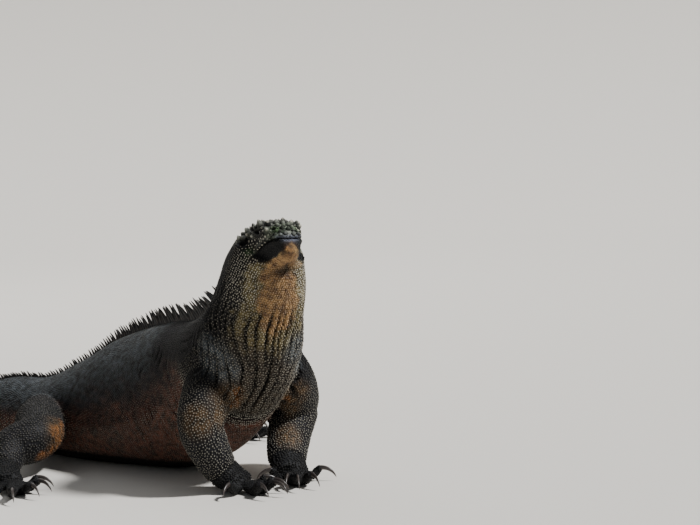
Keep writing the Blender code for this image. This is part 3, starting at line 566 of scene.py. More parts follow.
    # Painted shade: black in the hollow of each ear, round each sunken eye and in each nostril
    for side in (-1, 1):
        ear = np.linalg.norm((local - np.array(EARDRUM) * (1, side, 1)) * (0.8, 0.6, 1.1), axis=1)
        black_and_shade = np.maximum(black_and_shade, on_head * (1 - fade(ear, 0.004, 0.0065)))
        eye = np.linalg.norm((local - np.array(EYE) * (1, side, 1)) * (0.7, 0.4, 1.1), axis=1)
        black_and_shade = np.maximum(black_and_shade, on_head * 0.85 * (1 - fade(eye, 0.0050, 0.0075)))
        nose = np.linalg.norm(local - np.array(NOSTRIL) * (1, side, 1), axis=1)
        black_and_shade = np.maximum(black_and_shade, on_head * (1 - fade(nose, 0.0022, 0.0034)))
    found["black_and_shade"] = np.clip(np.maximum(black_and_shade, hands_and_floor_shade), 0, 1)
    jowl = fade(line_x, 0.036, 0.046) * fade(from_chin, 0.35, 0.60) * (1 - fade(front, 1.45, 1.70))
    cheek = on_head * fade(below_mouth, 0.000, 0.004) * (1 - fade(local[:, 0], -0.012, 0.004)) * (abs(head_turn) < 2.2)
    # Where scale tops are painted pale, partly as worn horn and partly as a painted highlight
    found["dots"] = np.clip(np.maximum(np.maximum(jowl, cheek), np.maximum(limbs, np.maximum(1.3 * low * body * (1 - 0.65 * on_breast), 0.15 * back_sheen))), 0, 1)
    found["dots"] = found["dots"] * (1 - found["black_and_shade"]) * (1 - 0.7 * found["tan"])
    return found


def keep_markings(data, found, repeat=1):
    """Write shares of markings on a mesh, each for so many corner points in a row."""
    for name, values in found.items():
        data.attributes.new(name, "FLOAT", "POINT").data.foreach_set("value", np.repeat(values, repeat))


def linear(colour):
    """An sRGB hex colour as linear red, green, blue and alpha."""
    parts = [int(colour[start:start + 2], 16) / 255 for start in (1, 3, 5)]
    return [part / 12.92 if part <= 0.04045 else ((part + 0.055) / 1.055) ** 2.4 for part in parts] + [1.0]


def add_node(tree, kind, settings=None, links=None):
    """Add one node: settings go to its sockets or properties, links to its input sockets."""
    node = tree.nodes.new(kind)
    for key, value in (settings or {}).items():
        if isinstance(key, str) and hasattr(node, key) and key not in node.inputs:
            setattr(node, key, value)
        else:
            node.inputs[key].default_value = value
    for key, socket in (links or {}).items():
        tree.links.new(socket, node.inputs[key])
    return node


def blank_material(name):
    """A material with an empty node tree but for its output."""
    material = bpy.data.materials.new(name)
    material.use_nodes = True
    material.node_tree.nodes.clear()
    return material


MARKING_COLOURS = {
    "earth": ("#51483c", "#1f1b17", 0.85),
    "olive": ("#897c54", "#3a3322", 0.85),
    # Slate of the shoulder patches, and the painted sheen along the top of the back
    "slate_and_sheen": ("#60676c", "#242729", 0.85),
    "rust": ("#744838", "#2c1a13", 0.95),
    "tan": ("#ac885c", "#604733", 0.95),
    "ochre": ("#755a39", "#302619", 0.72),
    "orange": ("#98602e", "#45301c", 0.88),
    "crust": ("#9b9d92", "#232421", 0.95),
    "algae": ("#415c33", "#131d0e", 0.9),
    "lilac": ("#6d7283", "#3c3f48", 0.9),
    # Black of lips, hands and feet, and painted shade in hollows and next to the floor
    "black_and_shade": ("#0d0e11", "#060708", 0.97),
}


def scaly_hide(name, raised, roughness, pale_tips, grain):
    """Dry reptile keratin: matt and leathery, a soft sheen on top, darker in the joints between scales.

    Raised scales read their height from the tip marking, and pale_tips is how pale their tops are
    painted: partly worn horn, partly a painted highlight where light catches each scale.
    """
    material = blank_material(name)
    tree = material.node_tree
    where = add_node(tree, "ShaderNodeTexCoord").outputs["Object"]
    # Blotches of 6 mm and grains of under 1 mm break up every colour
    blotch = add_node(tree, "ShaderNodeTexNoise", {"Scale": 160, "Detail": 4, "Roughness": 0.6}, {"Vector": where})
    speck = add_node(tree, "ShaderNodeTexNoise", {"Scale": 900, "Detail": 3, "Roughness": 0.6}, {"Vector": where})
    contrast = add_node(tree, "ShaderNodeMapRange", {1: 0.35, 2: 0.65}, {0: blotch.outputs["Fac"]}).outputs[0]
    colour = add_node(tree, "ShaderNodeMix", {"data_type": "RGBA", 6: linear("#0a0a0b"), 7: linear("#1b1b1e")},
                      {0: contrast}).outputs[2]
    for marking, (light, dark, amount) in MARKING_COLOURS.items():
        share = add_node(tree, "ShaderNodeAttribute", {"attribute_name": marking}).outputs["Fac"]
        share = add_node(tree, "ShaderNodeMath", {"operation": "MULTIPLY", 1: amount}, {0: share}).outputs[0]
        shade = add_node(tree, "ShaderNodeMix", {"data_type": "RGBA", 6: linear(dark), 7: linear(light)},
                         {0: contrast}).outputs[2]
        colour = add_node(tree, "ShaderNodeMix", {"data_type": "RGBA"}, {0: share, 6: colour, 7: shade}).outputs[2]
    # Painted shade: colour darkened in fold valleys, creases, the mouth's slit and the hollow under the jaw
    folded = add_node(tree, "ShaderNodeAttribute", {"attribute_name": "folded"}).outputs["Fac"]
    shadow = add_node(tree, "ShaderNodeMapRange", {1: 0.05, 2: 0.75, 3: 1.0, 4: 0.06}, {0: folded}).outputs[0]
    colour = add_node(tree, "ShaderNodeMix", {"data_type": "RGBA", "blend_type": "MULTIPLY", 0: 1.0},
                      {6: colour, 7: shadow}).outputs[2]
    if raised:
        tip = add_node(tree, "ShaderNodeAttribute", {"attribute_name": "tip"}).outputs["Fac"]
        depth = add_node(tree, "ShaderNodeMapRange", {1: 0.0, 2: 0.7, 3: 0.12, 4: 1.0}, {0: tip}).outputs[0]
        joint = add_node(tree, "ShaderNodeMix", {"data_type": "RGBA", "blend_type": "MULTIPLY", 0: 1.0},
                         {6: colour, 7: depth}).outputs[2]
        # Pale scale tops: partly worn horn, partly a painted highlight where light catches each scale
        pale_share = add_node(tree, "ShaderNodeMapRange", {1: 0.62, 2: 0.92, 3: 0.0, 4: pale_tips}, {0: tip}).outputs[0]
        dots = add_node(tree, "ShaderNodeAttribute", {"attribute_name": "dots"}).outputs["Fac"]
        dots = add_node(tree, "ShaderNodeMapRange", {3: 0.05}, {0: dots}).outputs[0]
        pale_share = add_node(tree, "ShaderNodeMath", {"operation": "MULTIPLY"}, {0: pale_share, 1: dots}).outputs[0]
        pale_share = add_node(tree, "ShaderNodeMath", {"operation": "MULTIPLY"},
                        {0: pale_share, 1: add_node(tree, "ShaderNodeMapRange", {1: 0.3, 2: 0.6},
                                              {0: speck.outputs["Fac"]}).outputs[0]}).outputs[0]
        colour = add_node(tree, "ShaderNodeMix", {"data_type": "RGBA", 7: linear("#d3cdbd")},
                          {0: pale_share, 6: joint}).outputs[2]
    rough = add_node(tree, "ShaderNodeMapRange", {3: roughness - 0.10, 4: roughness + 0.12},
                     {0: speck.outputs["Fac"]}).outputs[0]
    cells = add_node(tree, "ShaderNodeTexVoronoi", {"Scale": 1 / grain, "feature": "F1"}, {"Vector": where})
    lumps = add_node(tree, "ShaderNodeMath", {"operation": "MULTIPLY", 1: -1.0}, {0: cells.outputs["Distance"]})
    bump = add_node(tree, "ShaderNodeBump", {"Strength": 0.5, "Distance": grain * 0.4}, {"Height": lumps.outputs[0]})
    bump = add_node(tree, "ShaderNodeBump", {"Strength": 0.35, "Distance": 0.0002},
                    {"Height": speck.outputs["Fac"], "Normal": bump.outputs[0]})
    shader = add_node(tree, "ShaderNodeBsdfPrincipled",
                      {"IOR": 1.5, "Metallic": 0.0, "Specular IOR Level": 0.20},
                      {"Base Color": colour, "Roughness": rough, "Normal": bump.outputs[0]})
    add_node(tree, "ShaderNodeOutputMaterial", links={"Surface": shader.outputs[0]})
    return material


fold_tree = KDTree(len(places))
for index, place in enumerate(places):
    fold_tree.insert(place, index)
fold_tree.balance()
found = markings(places)
found["folded"] = np.clip(folded, 0, 1)
keep_markings(hide.data, found)
hide.data.materials.append(scaly_hide("leathery_hide", False, 0.62, 0.0, 0.0011))


# Scales. Small horny scales cover the hide in rings, like bricks, and lie towards the tail or
# the toes. Each is a six-sided dome of keratin with its edge sunk in the hide.
hide_tree = BVHTree.FromPolygons([tuple(place) for place in places], [tuple(face.vertices) for face in hide.data.polygons])
hexagon = [(math.cos(turn), math.sin(turn)) for turn in np.linspace(0, 2 * math.pi, 6, endpoint=False)]
LOW_SCALE = {
    "corners": [(x, y, -0.35) for x, y in hexagon] + [(0.15, 0.0, 1.0)],
    "faces": [(n, (n + 1) % 6, 6) for n in range(6)] + [(5, 4, 3, 2, 1, 0)],
    "tip": [0.15] * 6 + [1.0],
}
DOME_SCALE = {
    "corners": [(x, y, -0.35) for x, y in hexagon] + [(0.08 + 0.62 * x, 0.62 * y, 0.72) for x, y in hexagon]
    + [(0.12, 0.0, 1.0)],
    "faces": [(n, (n + 1) % 6, 6 + (n + 1) % 6, 6 + n) for n in range(6)]
    + [(6 + n, 6 + (n + 1) % 6, 12) for n in range(6)] + [(5, 4, 3, 2, 1, 0)],
    "tip": [0.0] * 6 + [0.75] * 6 + [1.0],
}
BAKE_PATCH = 0.0015                    # half of a scale's patch on the unwrapped hide


def unwrapped(tube, along, turn):
    """Place on the unwrap of the hide."""
    left, bottom, right, top = tube.patch
    across = np.clip(along / tube.walked[-1], 0, 1)
    return np.c_[left + (right - left) * across, bottom + (top - bottom) * (turn / (2 * math.pi) + 0.5)]


def scale_piece(name, shape, roots, material):
    """One piece of many like scales. roots: places, normals, lies, sizes (length, width, height), unwrap."""
    places, normals, lies, sizes, unwrap = roots
    normals = unit(normals)
    lies = unit(lies - normals * (lies * normals).sum(1)[:, None])
    across = np.cross(normals, lies)
    template = np.array(shape["corners"])
    offset = template[None] * sizes[:, None]
    corners = places[:, None] + offset[..., :1] * lies[:, None] + offset[..., 1:2] * across[:, None]
    corners = corners + offset[..., 2:] * normals[:, None]
    corners[..., 2] = np.maximum(corners[..., 2], 0.0)
    count = len(template)
    faces = [tuple(start + corner for corner in face)
             for start in range(0, len(places) * count, count) for face in shape["faces"]]
    item = mesh_object(name, corners.reshape(-1, 3), faces)
    found = markings(places)
    found["folded"] = np.clip(folded, 0, 1)[[fold_tree.find(place)[1] for place in places]]
    keep_markings(item.data, found, count)
    item.data.attributes.new("tip", "FLOAT", "POINT").data.foreach_set("value", np.tile(shape["tip"], len(places)))
    span = abs(template[:, :2]).max()
    flat = unwrap[:, None] + template[None, :, :2] / span * BAKE_PATCH
    loop_corners = np.empty(len(item.data.loops), dtype=np.int32)
    item.data.loops.foreach_get("vertex_index", loop_corners)
    item.data.uv_layers.new(name="OFBake").data.foreach_set("uv", flat.reshape(-1, 2)[loop_corners].ravel())
    item.data.materials.append(material)
    item.data.shade_smooth()
    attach(item, "root")
    return item


def ring_roots(name, first, last, step, lie, sizes, seed, reach=0.010, keep=None):
    """Roots of scales in rings round a tube from a first to a last distance along it."""
    tube = tubes[name]
    draw = np.random.default_rng(seed)
    found = []
    distance, row = first, 0
    while distance < last:
        station = tube.station(distance)
        width, above, below = station[4]
        count = max(6, round(2 * math.pi * math.sqrt((width ** 2 + ((above + below) / 2) ** 2) / 2) / step))
        turns = (np.arange(count) + 0.5 * (row % 2)) / count * 2 * math.pi - math.pi
        turns = turns + draw.uniform(-0.2, 0.2, count) * 2 * math.pi / count
        ring = tube.ring(tube.station(distance + draw.uniform(-0.1, 0.1) * step), turns)
        ring = ring + np.outer(draw.uniform(-0.2, 0.2, count) * step, station[1])
        for turn, point in zip(turns, ring):
            way = point - station[0]
            far = np.linalg.norm(way)
            hit, normal, _, length = hide_tree.ray_cast(Vector(station[0]), Vector(way), far + reach)
            if hit is None or length < far - reach or hit.z < 0.0012:
                continue
            found.append((*hit, *normal, *(station[1] * lie), distance, turn, draw.uniform(0.88, 1.12)))
        distance += step * 0.88
        row += 1
    found = np.array(found)
    own = tube.coordinates(found[:, :3])[2]
    others = [other.coordinates(found[:, :3])[2] for key, other in tubes.items() if key != name]
    mine = own < np.min(others, axis=0) + 0.0004
    found = found[mine]
    length, wide, tall = sizes
    size = found[:, 11:12] * np.array([[length, wide, tall]]) * step
    roots = [found[:, :3], found[:, 3:6], found[:, 6:9], size, unwrapped(tube, found[:, 9], found[:, 10])]
    if keep is not None:
        chosen = keep(found[:, :3])
        roots = [part[chosen] for part in roots]
    return roots


def spread(places, spacing, seed):
    """Choose points, widest spaced first, so that none stand nearer than their spacings allow."""
    order = np.argsort(-spacing * np.random.default_rng(seed).uniform(0.8, 1.0, len(places)))
    cell = spacing.max()
    cells, chosen = {}, []
    for index in order:
        x, y, z = (places[index] // cell).astype(int)
        near = [other for i in (x - 1, x, x + 1) for j in (y - 1, y, y + 1) for k in (z - 1, z, z + 1)
                for other in cells.get((i, j, k), ())]
        if near:
            gaps = np.linalg.norm(places[near] - places[index], axis=1)
            if (gaps < 0.5 * (spacing[near] + spacing[index])).any():
                continue
        cells.setdefault((x, y, z), []).append(index)
        chosen.append(index)
    return np.array(chosen)


def strewn_roots(name, spacing, lie, sizes, seed):
    """Roots of scales strewn evenly over the hide of one tube, also where it bends."""
    tube = tubes[name]
    near = (middles > tube.points.min(0) - 0.032) & (middles < tube.points.max(0) + 0.032)
    near = np.flatnonzero(near.all(1) & (middles[:, 2] > 0.0012))
    along, turn, height = tube.coordinates(middles[near])
    others = [other.coordinates(middles[near])[2] for key, other in tubes.items() if key != name]
    mine = (height < np.min(others, axis=0) + 0.0004) & (height < 0.010)
    near, along, turn = near[mine], along[mine], turn[mine]
    chosen = spread(middles[near], np.full(len(near), spacing), seed)
    near, along, turn = near[chosen], along[chosen], turn[chosen]
    lies = np.stack([np.interp(along, tube.walked, column) for column in tube.forward.T], axis=1) * lie
    size = np.random.default_rng(seed).uniform(0.88, 1.12, (len(near), 1)) * np.array([sizes]) * spacing
    return [middles[near], face_normals[near], lies, size, unwrapped(tube, along, turn)]


def joined(groups):
    """Several groups of roots as one."""
    return [np.concatenate(parts) for parts in zip(*groups)]


def on_throat(places):
    """True on throat, jowls and breast."""
    line_x, front, _ = trunk_place(places)
    return (line_x > -0.02) & (abs(front) < 1.75)


middles = np.empty(len(hide.data.polygons) * 3)
hide.data.polygons.foreach_get("center", middles)
middles = middles.reshape(-1, 3)
face_normals = np.empty(len(hide.data.polygons) * 3)
hide.data.polygons.foreach_get("normal", face_normals)
face_normals = face_normals.reshape(-1, 3)
trunk_length = tubes["trunk"].walked
hips = np.interp(-0.33 - STANCE_CENTRE[0], tubes["trunk"].points[:, 0], trunk_length)
ribs = np.interp(-0.12 - STANCE_CENTRE[0], tubes["trunk"].points[:, 0], trunk_length)
throat = np.interp(-0.02 - STANCE_CENTRE[0], tubes["trunk"].points[:, 0], trunk_length)
# Body scales whose pale tops are partly a painted highlight
horn = scaly_hide("worn_and_highlighted_body_scales", True, 0.54, 0.90, 0.0007)
dotted = scaly_hide("pale_tipped_scales", True, 0.70, 0.95, 0.0007)
tail_roots = ring_roots("trunk", 0.004, hips, 0.0030, -1, (0.66, 0.52, 0.22), 31)
scale_piece("tail_scales", LOW_SCALE, tail_roots, horn)
rear_roots = ring_roots("trunk", hips, ribs, 0.0025, -1, (0.64, 0.55, 0.22), 32)
scale_piece("flank_scales", LOW_SCALE, rear_roots, horn)
fore_roots = ring_roots("trunk", ribs, trunk_length[-1], 0.0024, -1, (0.62, 0.56, 0.24), 33,
                        keep=lambda places: ~on_throat(places))
scale_piece("shoulder_scales", LOW_SCALE, fore_roots, horn)
throat_roots = ring_roots("trunk", throat, trunk_length[-1], 0.0025, -1, (0.54, 0.54, 0.46), 34, keep=on_throat)
scale_piece("throat_scales", DOME_SCALE, throat_roots, dotted)
arm_roots = [strewn_roots(f"arm_{side}", 0.0022, 1, (0.62, 0.58, 0.52), 35) for side in SIDES]
scale_piece("arm_scales", DOME_SCALE, joined(arm_roots), dotted)
leg_roots = [strewn_roots(f"leg_{side}", 0.0024, 1, (0.62, 0.58, 0.42), 36) for side in SIDES]
scale_piece("leg_scales", DOME_SCALE, joined(leg_roots), dotted)
toe_roots = [ring_roots(name, 0.0, tubes[name].walked[-1] * 0.97, 0.0022, 1, (0.66, 0.58, 0.22), 37, 0.004)
             for name in toe_names]
scale_piece("toe_scales", LOW_SCALE, joined(toe_roots), horn)


# Head scales. Tall cones of pale, salt-crusted horn stand on the crown, domes on cheek and snout,
# and fine grains on chin and lids. They grow side by side with bare joints between them.
CONE_SCALE = {
    "corners": [(ring * math.cos(turn) + lean, ring * math.sin(turn), rise)
                for ring, lean, rise in ((1.0, 0, -0.25), (0.98, 0, 0.12), (0.76, 0.04, 0.48), (0.42, 0.12, 0.80))
                for turn in np.linspace(0, 2 * math.pi, 7, endpoint=False)] + [(0.2, 0.0, 1.0)],
    "faces": [(7 * ring + n, 7 * ring + (n + 1) % 7, 7 * ring + 7 + (n + 1) % 7, 7 * ring + 7 + n)
              for ring in range(3) for n in range(7)] + [(21 + n, 21 + (n + 1) % 7, 28) for n in range(7)]
    + [tuple(range(6, -1, -1))],
    "tip": [0.0] * 7 + [0.10] * 7 + [0.50] * 7 + [0.85] * 7 + [1.0],
}


near_head = np.linalg.norm(in_head(middles), axis=1) < 0.064
middles, face_normals = middles[near_head], face_normals[near_head]
head_along, head_round, head_height = tubes["head"].coordinates(middles)
own = (head_height < tubes["trunk"].coordinates(middles)[2]) & (head_height < 0.012)
middles, face_normals, head_along, head_round = middles[own], face_normals[own], head_along[own], head_round[own]
local = in_head(middles)
heading, below_mouth = at_mouth_line(local)
crown = (1 - fade(abs(head_round), 0.95, 1.45)) * (1 - 0.45 * fade(local[:, 0], 0.012, 0.026))
spacing = 0.0028 + 0.0034 * crown
tall = 0.0009 + 0.0046 * crown ** 1.5
lower = fade(below_mouth, 0.0, 0.004)
spacing = spacing * (1 - lower) + lower * (0.0020 + 0.0007 * fade(-local[:, 0], 0.0, 0.02))
tall = tall * (1 - lower) + lower * 0.0006
bare = np.zeros(len(middles), dtype=bool)
for side in (-1, 1):
    eye = np.linalg.norm((local - np.array(EYE) * (1, side, 1)) * (0.85, 0.45, 1.15), axis=1)
    lid = 1 - fade(eye, 0.0058, 0.0090)
    spacing = spacing * (1 - lid) + 0.0014 * lid
    tall = tall * (1 - lid) + 0.0004 * lid
    drum = np.linalg.norm((local - np.array(EARDRUM) * (1, side, 1)) * (0.8, 0.6, 1.1), axis=1)
    nose = np.linalg.norm(local - np.array(NOSTRIL) * (1, side, 1), axis=1)
    bare |= (eye < 0.0036) | (drum < 0.0046) | (nose < 0.0028)
    spacing = np.where(nose < 0.007, np.minimum(spacing, 0.0024), spacing)
    tall = np.where(nose < 0.007, np.minimum(tall, 0.0010), tall)
bare |= (abs(below_mouth) < 0.0011) & (heading < 98)
lip = fade(below_mouth, 0.0005, 0.001) * (1 - fade(below_mouth, 0.012, 0.016)) * (heading < 96)
tall = np.where(lip > 0.5, 0.0003, tall)
draw = np.random.default_rng(41)
spacing = spacing * draw.uniform(0.85, 1.15, len(spacing))
kept = np.flatnonzero(~bare)
kept = kept[spread(middles[kept], spacing[kept], 42)]
size = np.c_[spacing * 0.52, spacing * 0.50, tall * draw.uniform(0.75, 1.2, len(tall))]
backwards = np.tile(-tubes["head"].forward[4], (len(middles), 1))
head_scales = [middles, face_normals, backwards, size, unwrapped(tubes["head"], head_along, head_round)]
cones = kept[tall[kept] > 0.0018]
domes = kept[tall[kept] <= 0.0018]
crusted = scaly_hide("salt_crusted_horn", True, 0.70, 0.85, 0.0006)
scale_piece("crown_cones", CONE_SCALE, [part[cones] for part in head_scales], crusted)
scale_piece("head_scales", DOME_SCALE, [part[domes] for part in head_scales], crusted)


# Crest. A comb of long, flat, leathery spines runs from the nape to the tail, tallest over the
# shoulders. Each spine is a bent blade of dark horn, grown out of the skin of the back.
CREST_STEP = 0.0035
# x of the back's middle line, height of the spines there
CREST_HEIGHTS = (
    (-0.905, 0.0015), (-0.700, 0.0045), (-0.450, 0.0080), (-0.340, 0.0076), (-0.280, 0.0072),
    (-0.228, 0.0095), (-0.145, 0.0185), (-0.079, 0.0245), (-0.030, 0.0290), (0.004, 0.0285),
    (0.020, 0.0200), (0.036, 0.0095), (0.058, 0.0065), (0.064, 0.0060),
)
spine_rings = [(rise, max(0.0, 1 - rise) ** 0.55, 1.2 * rise * rise) for rise in (-0.12, 0.0, 0.2, 0.4, 0.6, 0.78, 0.92)]
SPINE = {
    "corners": [(girth * math.cos(turn) + lean, girth * math.sin(turn), rise)
                for rise, girth, lean in spine_rings for turn in np.linspace(0, 2 * math.pi, 8, endpoint=False)]
    + [(1.2, 0.0, 1.0)],
    "faces": [(8 * ring + n, 8 * ring + (n + 1) % 8, 8 * ring + 8 + (n + 1) % 8, 8 * ring + 8 + n)
              for ring in range(6) for n in range(8)] + [(48 + n, 48 + (n + 1) % 8, 56) for n in range(8)]
    + [tuple(range(7, -1, -1))],
    "tip": [max(0.0, rise) for rise, _, _ in spine_rings for _ in range(8)] + [1.0],
}


def crest_horn():
    """Dark horn: satin, nearly black, with worn pale brown streaks along some spines."""
    material = blank_material("crest_horn")
    tree = material.node_tree
    where = add_node(tree, "ShaderNodeTexCoord").outputs["Object"]
    streak = add_node(tree, "ShaderNodeTexNoise", {"Scale": 260, "Detail": 3}, {"Vector": where}).outputs["Fac"]
    pale_share = add_node(tree, "ShaderNodeMapRange", {1: 0.50, 2: 0.75, 3: 0.0, 4: 0.40}, {0: streak}).outputs[0]
    colour = add_node(tree, "ShaderNodeMix", {"data_type": "RGBA", 6: linear("#08080a"), 7: linear("#56493c")},
                      {0: pale_share}).outputs[2]
    bump = add_node(tree, "ShaderNodeBump", {"Strength": 0.4, "Distance": 0.0003}, {"Height": streak}).outputs[0]
    shader = add_node(tree, "ShaderNodeBsdfPrincipled",
                      {"IOR": 1.54, "Roughness": 0.5, "Specular IOR Level": 0.35},
                      {"Base Color": colour, "Normal": bump})
    add_node(tree, "ShaderNodeOutputMaterial", links={"Surface": shader.outputs[0]})
    return material


draw = np.random.default_rng(51)
spines = []
distance = 0.012
crest_x, crest_tall = np.array(CREST_HEIGHTS).T
while distance < trunk_length[-1] - 0.006:
    point, forward, left, upper = tubes["trunk"].station(distance)[:4]
    up = unit(upper * 0.6 + np.array((0, 0, 0.4)))
    hit, normal, _, _ = hide_tree.ray_cast(Vector(point), Vector(up), 0.2)
    height = np.interp(point[0] + STANCE_CENTRE[0], crest_x, crest_tall)
    height *= draw.uniform(0.84, 1.06) * (0.7 if draw.random() < 0.06 else 1.0)
    stand = unit(up - forward * draw.uniform(0.20, 0.48) + left * draw.uniform(-0.10, 0.10))
    half = 0.0016 + 0.050 * height
    spines.append((*hit, *stand, *-forward, half, 0.0009 + 0.016 * height, height, distance, 0.0))
    distance += CREST_STEP * draw.uniform(0.9, 1.1)
spines = np.array(spines)
spine_roots = [spines[:, :3], spines[:, 3:6], spines[:, 6:9], spines[:, 9:12],
               unwrapped(tubes["trunk"], spines[:, 12], spines[:, 13])]
scale_piece("crest_spines", SPINE, spine_roots, crest_horn())


# Claws. One long curved claw of dark horn on each toe, its root held in the toe's end scale.
CLAW_LENGTH = 0.019
CLAW_ROOT = (0.0018, 0.0028)           # half width and half height
CLAW_BEND = (8, 74)                    # degrees above the toe at the root, below it at the point


def claw_keratin():
    """Claw keratin: smooth and waxy, black-brown, paler where the edges are thin."""
    material = blank_material("claw_keratin")
    tree = material.node_tree
    tip = add_node(tree, "ShaderNodeAttribute", {"attribute_name": "tip"}).outputs["Fac"]
    where = add_node(tree, "ShaderNodeTexCoord").outputs["Object"]
    grain = add_node(tree, "ShaderNodeTexNoise", {"Scale": 700, "Detail": 3}, {"Vector": where}).outputs["Fac"]
    share = add_node(tree, "ShaderNodeMath", {"operation": "MULTIPLY"}, {0: tip, 1: grain}).outputs[0]
    colour = add_node(tree, "ShaderNodeMix", {"data_type": "RGBA", 6: linear("#1b181a"), 7: linear("#6b6058")},
                      {0: share}).outputs[2]
    shader = add_node(tree, "ShaderNodeBsdfPrincipled", {"IOR": 1.54, "Roughness": 0.34}, {"Base Color": colour})
    add_node(tree, "ShaderNodeOutputMaterial", links={"Surface": shader.outputs[0]})
    return material


keratin = claw_keratin()
for name, (root, ahead, left) in claw_roots.items():
    middle, rows, sides = root - ahead * 0.0030, 14, 12
    corners, tips = [], []
    for step in range(rows + 1):
        share = step / rows
        angle = math.radians(CLAW_BEND[0] - sum(CLAW_BEND) * share)
        forward = ahead * math.cos(angle) + np.array((0, 0, math.sin(angle)))
        upper = np.cross(forward, left)
        taper = (1 - share) ** 0.8 * (0.9 + 0.4 * share) + 0.02
        for turn in np.linspace(0, 2 * math.pi, sides, endpoint=False):
            side, rise = math.sin(turn), math.cos(turn)
            side *= 1 - 0.35 * max(0, -rise)
            corners.append(middle + (left * CLAW_ROOT[0] * side + upper * CLAW_ROOT[1] * rise) * taper)
            tips.append(0.25 + 0.75 * max(0, -rise) + 0.3 * share)
        middle = middle + forward * (CLAW_LENGTH + 0.0030) / rows
    faces = [(start + n, start + (n + 1) % sides, start + sides + (n + 1) % sides, start + sides + n)
             for start in range(0, rows * sides, sides) for n in range(sides)]
    faces += [tuple(range(sides - 1, -1, -1)), tuple(range(rows * sides, (rows + 1) * sides))]
    corners = np.array(corners)
    corners[:, 2] = np.maximum(corners[:, 2], 0.0)
    claw = mesh_object(f"horn_{name}", corners, faces)
    claw.data.attributes.new("tip", "FLOAT", "POINT").data.foreach_set("value", tips)
    claw.data.materials.append(keratin)
    claw.data.shade_smooth()
    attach(claw, "root")
    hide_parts(f"claw_{name}")


# Eyes. Dark brown eyeballs, wet and shining, sunk between heavy scaly lids.


def wet_eye():
    """A tear film over the eye: sharp highlights on a near black pupil and brown iris."""
    material = blank_material("wet_eye")
    tree = material.node_tree
    tip = add_node(tree, "ShaderNodeAttribute", {"attribute_name": "tip"}).outputs["Fac"]
    iris = add_node(tree, "ShaderNodeMapRange", {1: 0.90, 2: 0.93}, {0: tip}).outputs[0]
    rim = add_node(tree, "ShaderNodeMapRange", {1: 0.66, 2: 0.72}, {0: tip}).outputs[0]
    colour = add_node(tree, "ShaderNodeMix", {"data_type": "RGBA", 6: linear("#1a1412"), 7: linear("#38291f")},
                      {0: rim}).outputs[2]
    colour = add_node(tree, "ShaderNodeMix", {"data_type": "RGBA", 7: linear("#050506")}, {0: iris, 6: colour}).outputs[2]
    shader = add_node(tree, "ShaderNodeBsdfPrincipled", {"IOR": 1.38, "Roughness": 0.12, "Coat Weight": 1.0,
                                                          "Coat Roughness": 0.03}, {"Base Color": colour})
    add_node(tree, "ShaderNodeOutputMaterial", links={"Surface": shader.outputs[0]})
    return material


tear_film = wet_eye()
for side, mirror in zip(SIDES, (-1, 1)):
    facing = Vector((0.15, mirror * 0.95, 0.28)).normalized()
    ball = bmesh.new()
    bmesh.ops.create_uvsphere(ball, u_segments=32, v_segments=24, radius=EYE_RADIUS)
    look = facing.to_track_quat("Z", "Y").to_matrix().to_4x4()
    shift = Matrix.Translation(-Vector(STANCE_CENTRE)) @ head_frame
    data = bpy.data.meshes.new(f"eyeball_{side}")
    ball.to_mesh(data)
    ball.free()
    heights = numbers_of(data.vertices, "places")[:, 2] / EYE_RADIUS
    data.attributes.new("tip", "FLOAT", "POINT").data.foreach_set("value", heights)
    data.transform(shift @ Matrix.Translation((EYE[0], mirror * EYE[1], EYE[2])) @ look)
    eyeball = bpy.data.objects.new(f"eyeball_{side}", data)
    bpy.context.scene.collection.objects.link(eyeball)
    data.materials.append(tear_film)
    data.shade_smooth()
    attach(eyeball, "root")
    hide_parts(f"eye_{side}")


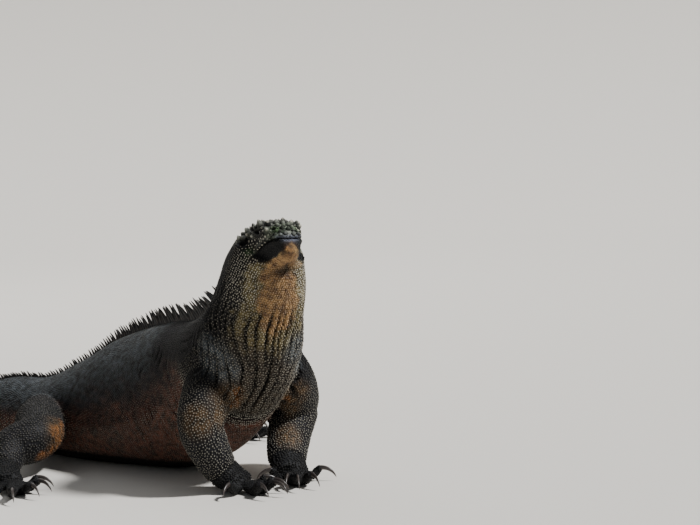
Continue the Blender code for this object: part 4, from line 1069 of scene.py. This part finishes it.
# Stage. A plain pale floor that sweeps up behind, soft light from the upper right, and the
# camera of the photograph: low, to the animal's right front, tilted a little.
CAMERA_PLACE = (1.549, -1.4525, 0.379)
CAMERA_AZIMUTH, CAMERA_DIP, CAMERA_TILT = 35.0, 4.998, -3.017
PHOTO_WIDTH, SENSOR_WIDTH, FOCAL_PIXELS = 700, 36.0, 1800
azimuth = math.radians(CAMERA_AZIMUTH)
behind = np.array((-math.sin(azimuth), math.cos(azimuth), 0.0))
beside = np.array((math.cos(azimuth), math.sin(azimuth), 0.0))
profile = [(-20.0, 0.0), (3.0, 0.0)]
profile += [(3.0 + 2.0 * math.sin(turn), 2.0 - 2.0 * math.cos(turn)) for turn in np.linspace(0, math.pi / 2, 25)[1:]]
profile.append((5.0, 7.0))
corners = [behind * reach + beside * side + np.array((0, 0, height - 0.0004))
           for reach, height in profile for side in (-24.0, 24.0)]
faces = [(2 * n, 2 * n + 1, 2 * n + 3, 2 * n + 2) for n in range(len(profile) - 1)]
floor = mesh_object("floor", corners, faces)
floor.data.shade_smooth()
chalk = blank_material("chalk_paper")
paper = add_node(chalk.node_tree, "ShaderNodeBsdfPrincipled", {"Base Color": linear("#d9d5ce"), "Roughness": 0.9})
add_node(chalk.node_tree, "ShaderNodeOutputMaterial", links={"Surface": paper.outputs[0]})
floor.data.materials.append(chalk)
camera = bpy.data.objects.new("camera", bpy.data.cameras.new("camera"))
bpy.context.scene.collection.objects.link(camera)
camera.data.sensor_width = SENSOR_WIDTH
camera.data.lens = SENSOR_WIDTH * FOCAL_PIXELS / PHOTO_WIDTH
camera.data.clip_start, camera.data.clip_end = 0.05, 100
camera.matrix_world = (Matrix.Translation(CAMERA_PLACE)
                       @ Matrix.Rotation(azimuth, 4, "Z")
                       @ Matrix.Rotation(math.radians(90 - CAMERA_DIP), 4, "X")
                       @ Matrix.Rotation(math.radians(CAMERA_TILT), 4, "Z"))
bpy.context.scene.camera = camera
# Kind, where the light comes from seen from the animal, strength, size
for name, kind, place, power, size in (
    ("key", "SUN", beside * 0.80 - behind * 0.22 + np.array((0, 0, 0.95)), 5.4, math.radians(6)),
    ("sheen", "AREA", behind * 1.6 - beside * 0.5 + np.array((0, 0, 1.7)), 11, 1.6),
):
    light = bpy.data.objects.new(name, bpy.data.lights.new(name, kind))
    light.data.energy = power
    if kind == "SUN":
        light.data.angle = size
    else:
        light.data.size = size
    light.location = place
    light.rotation_euler = (-Vector(place)).to_track_quat("-Z", "Y").to_euler()
    bpy.context.scene.collection.objects.link(light)
world = bpy.data.worlds.new("studio")
world.use_nodes = True
world.node_tree.nodes["Background"].inputs["Color"].default_value = linear("#dfe4ea")
world.node_tree.nodes["Background"].inputs["Strength"].default_value = 0.21
bpy.context.scene.world = world
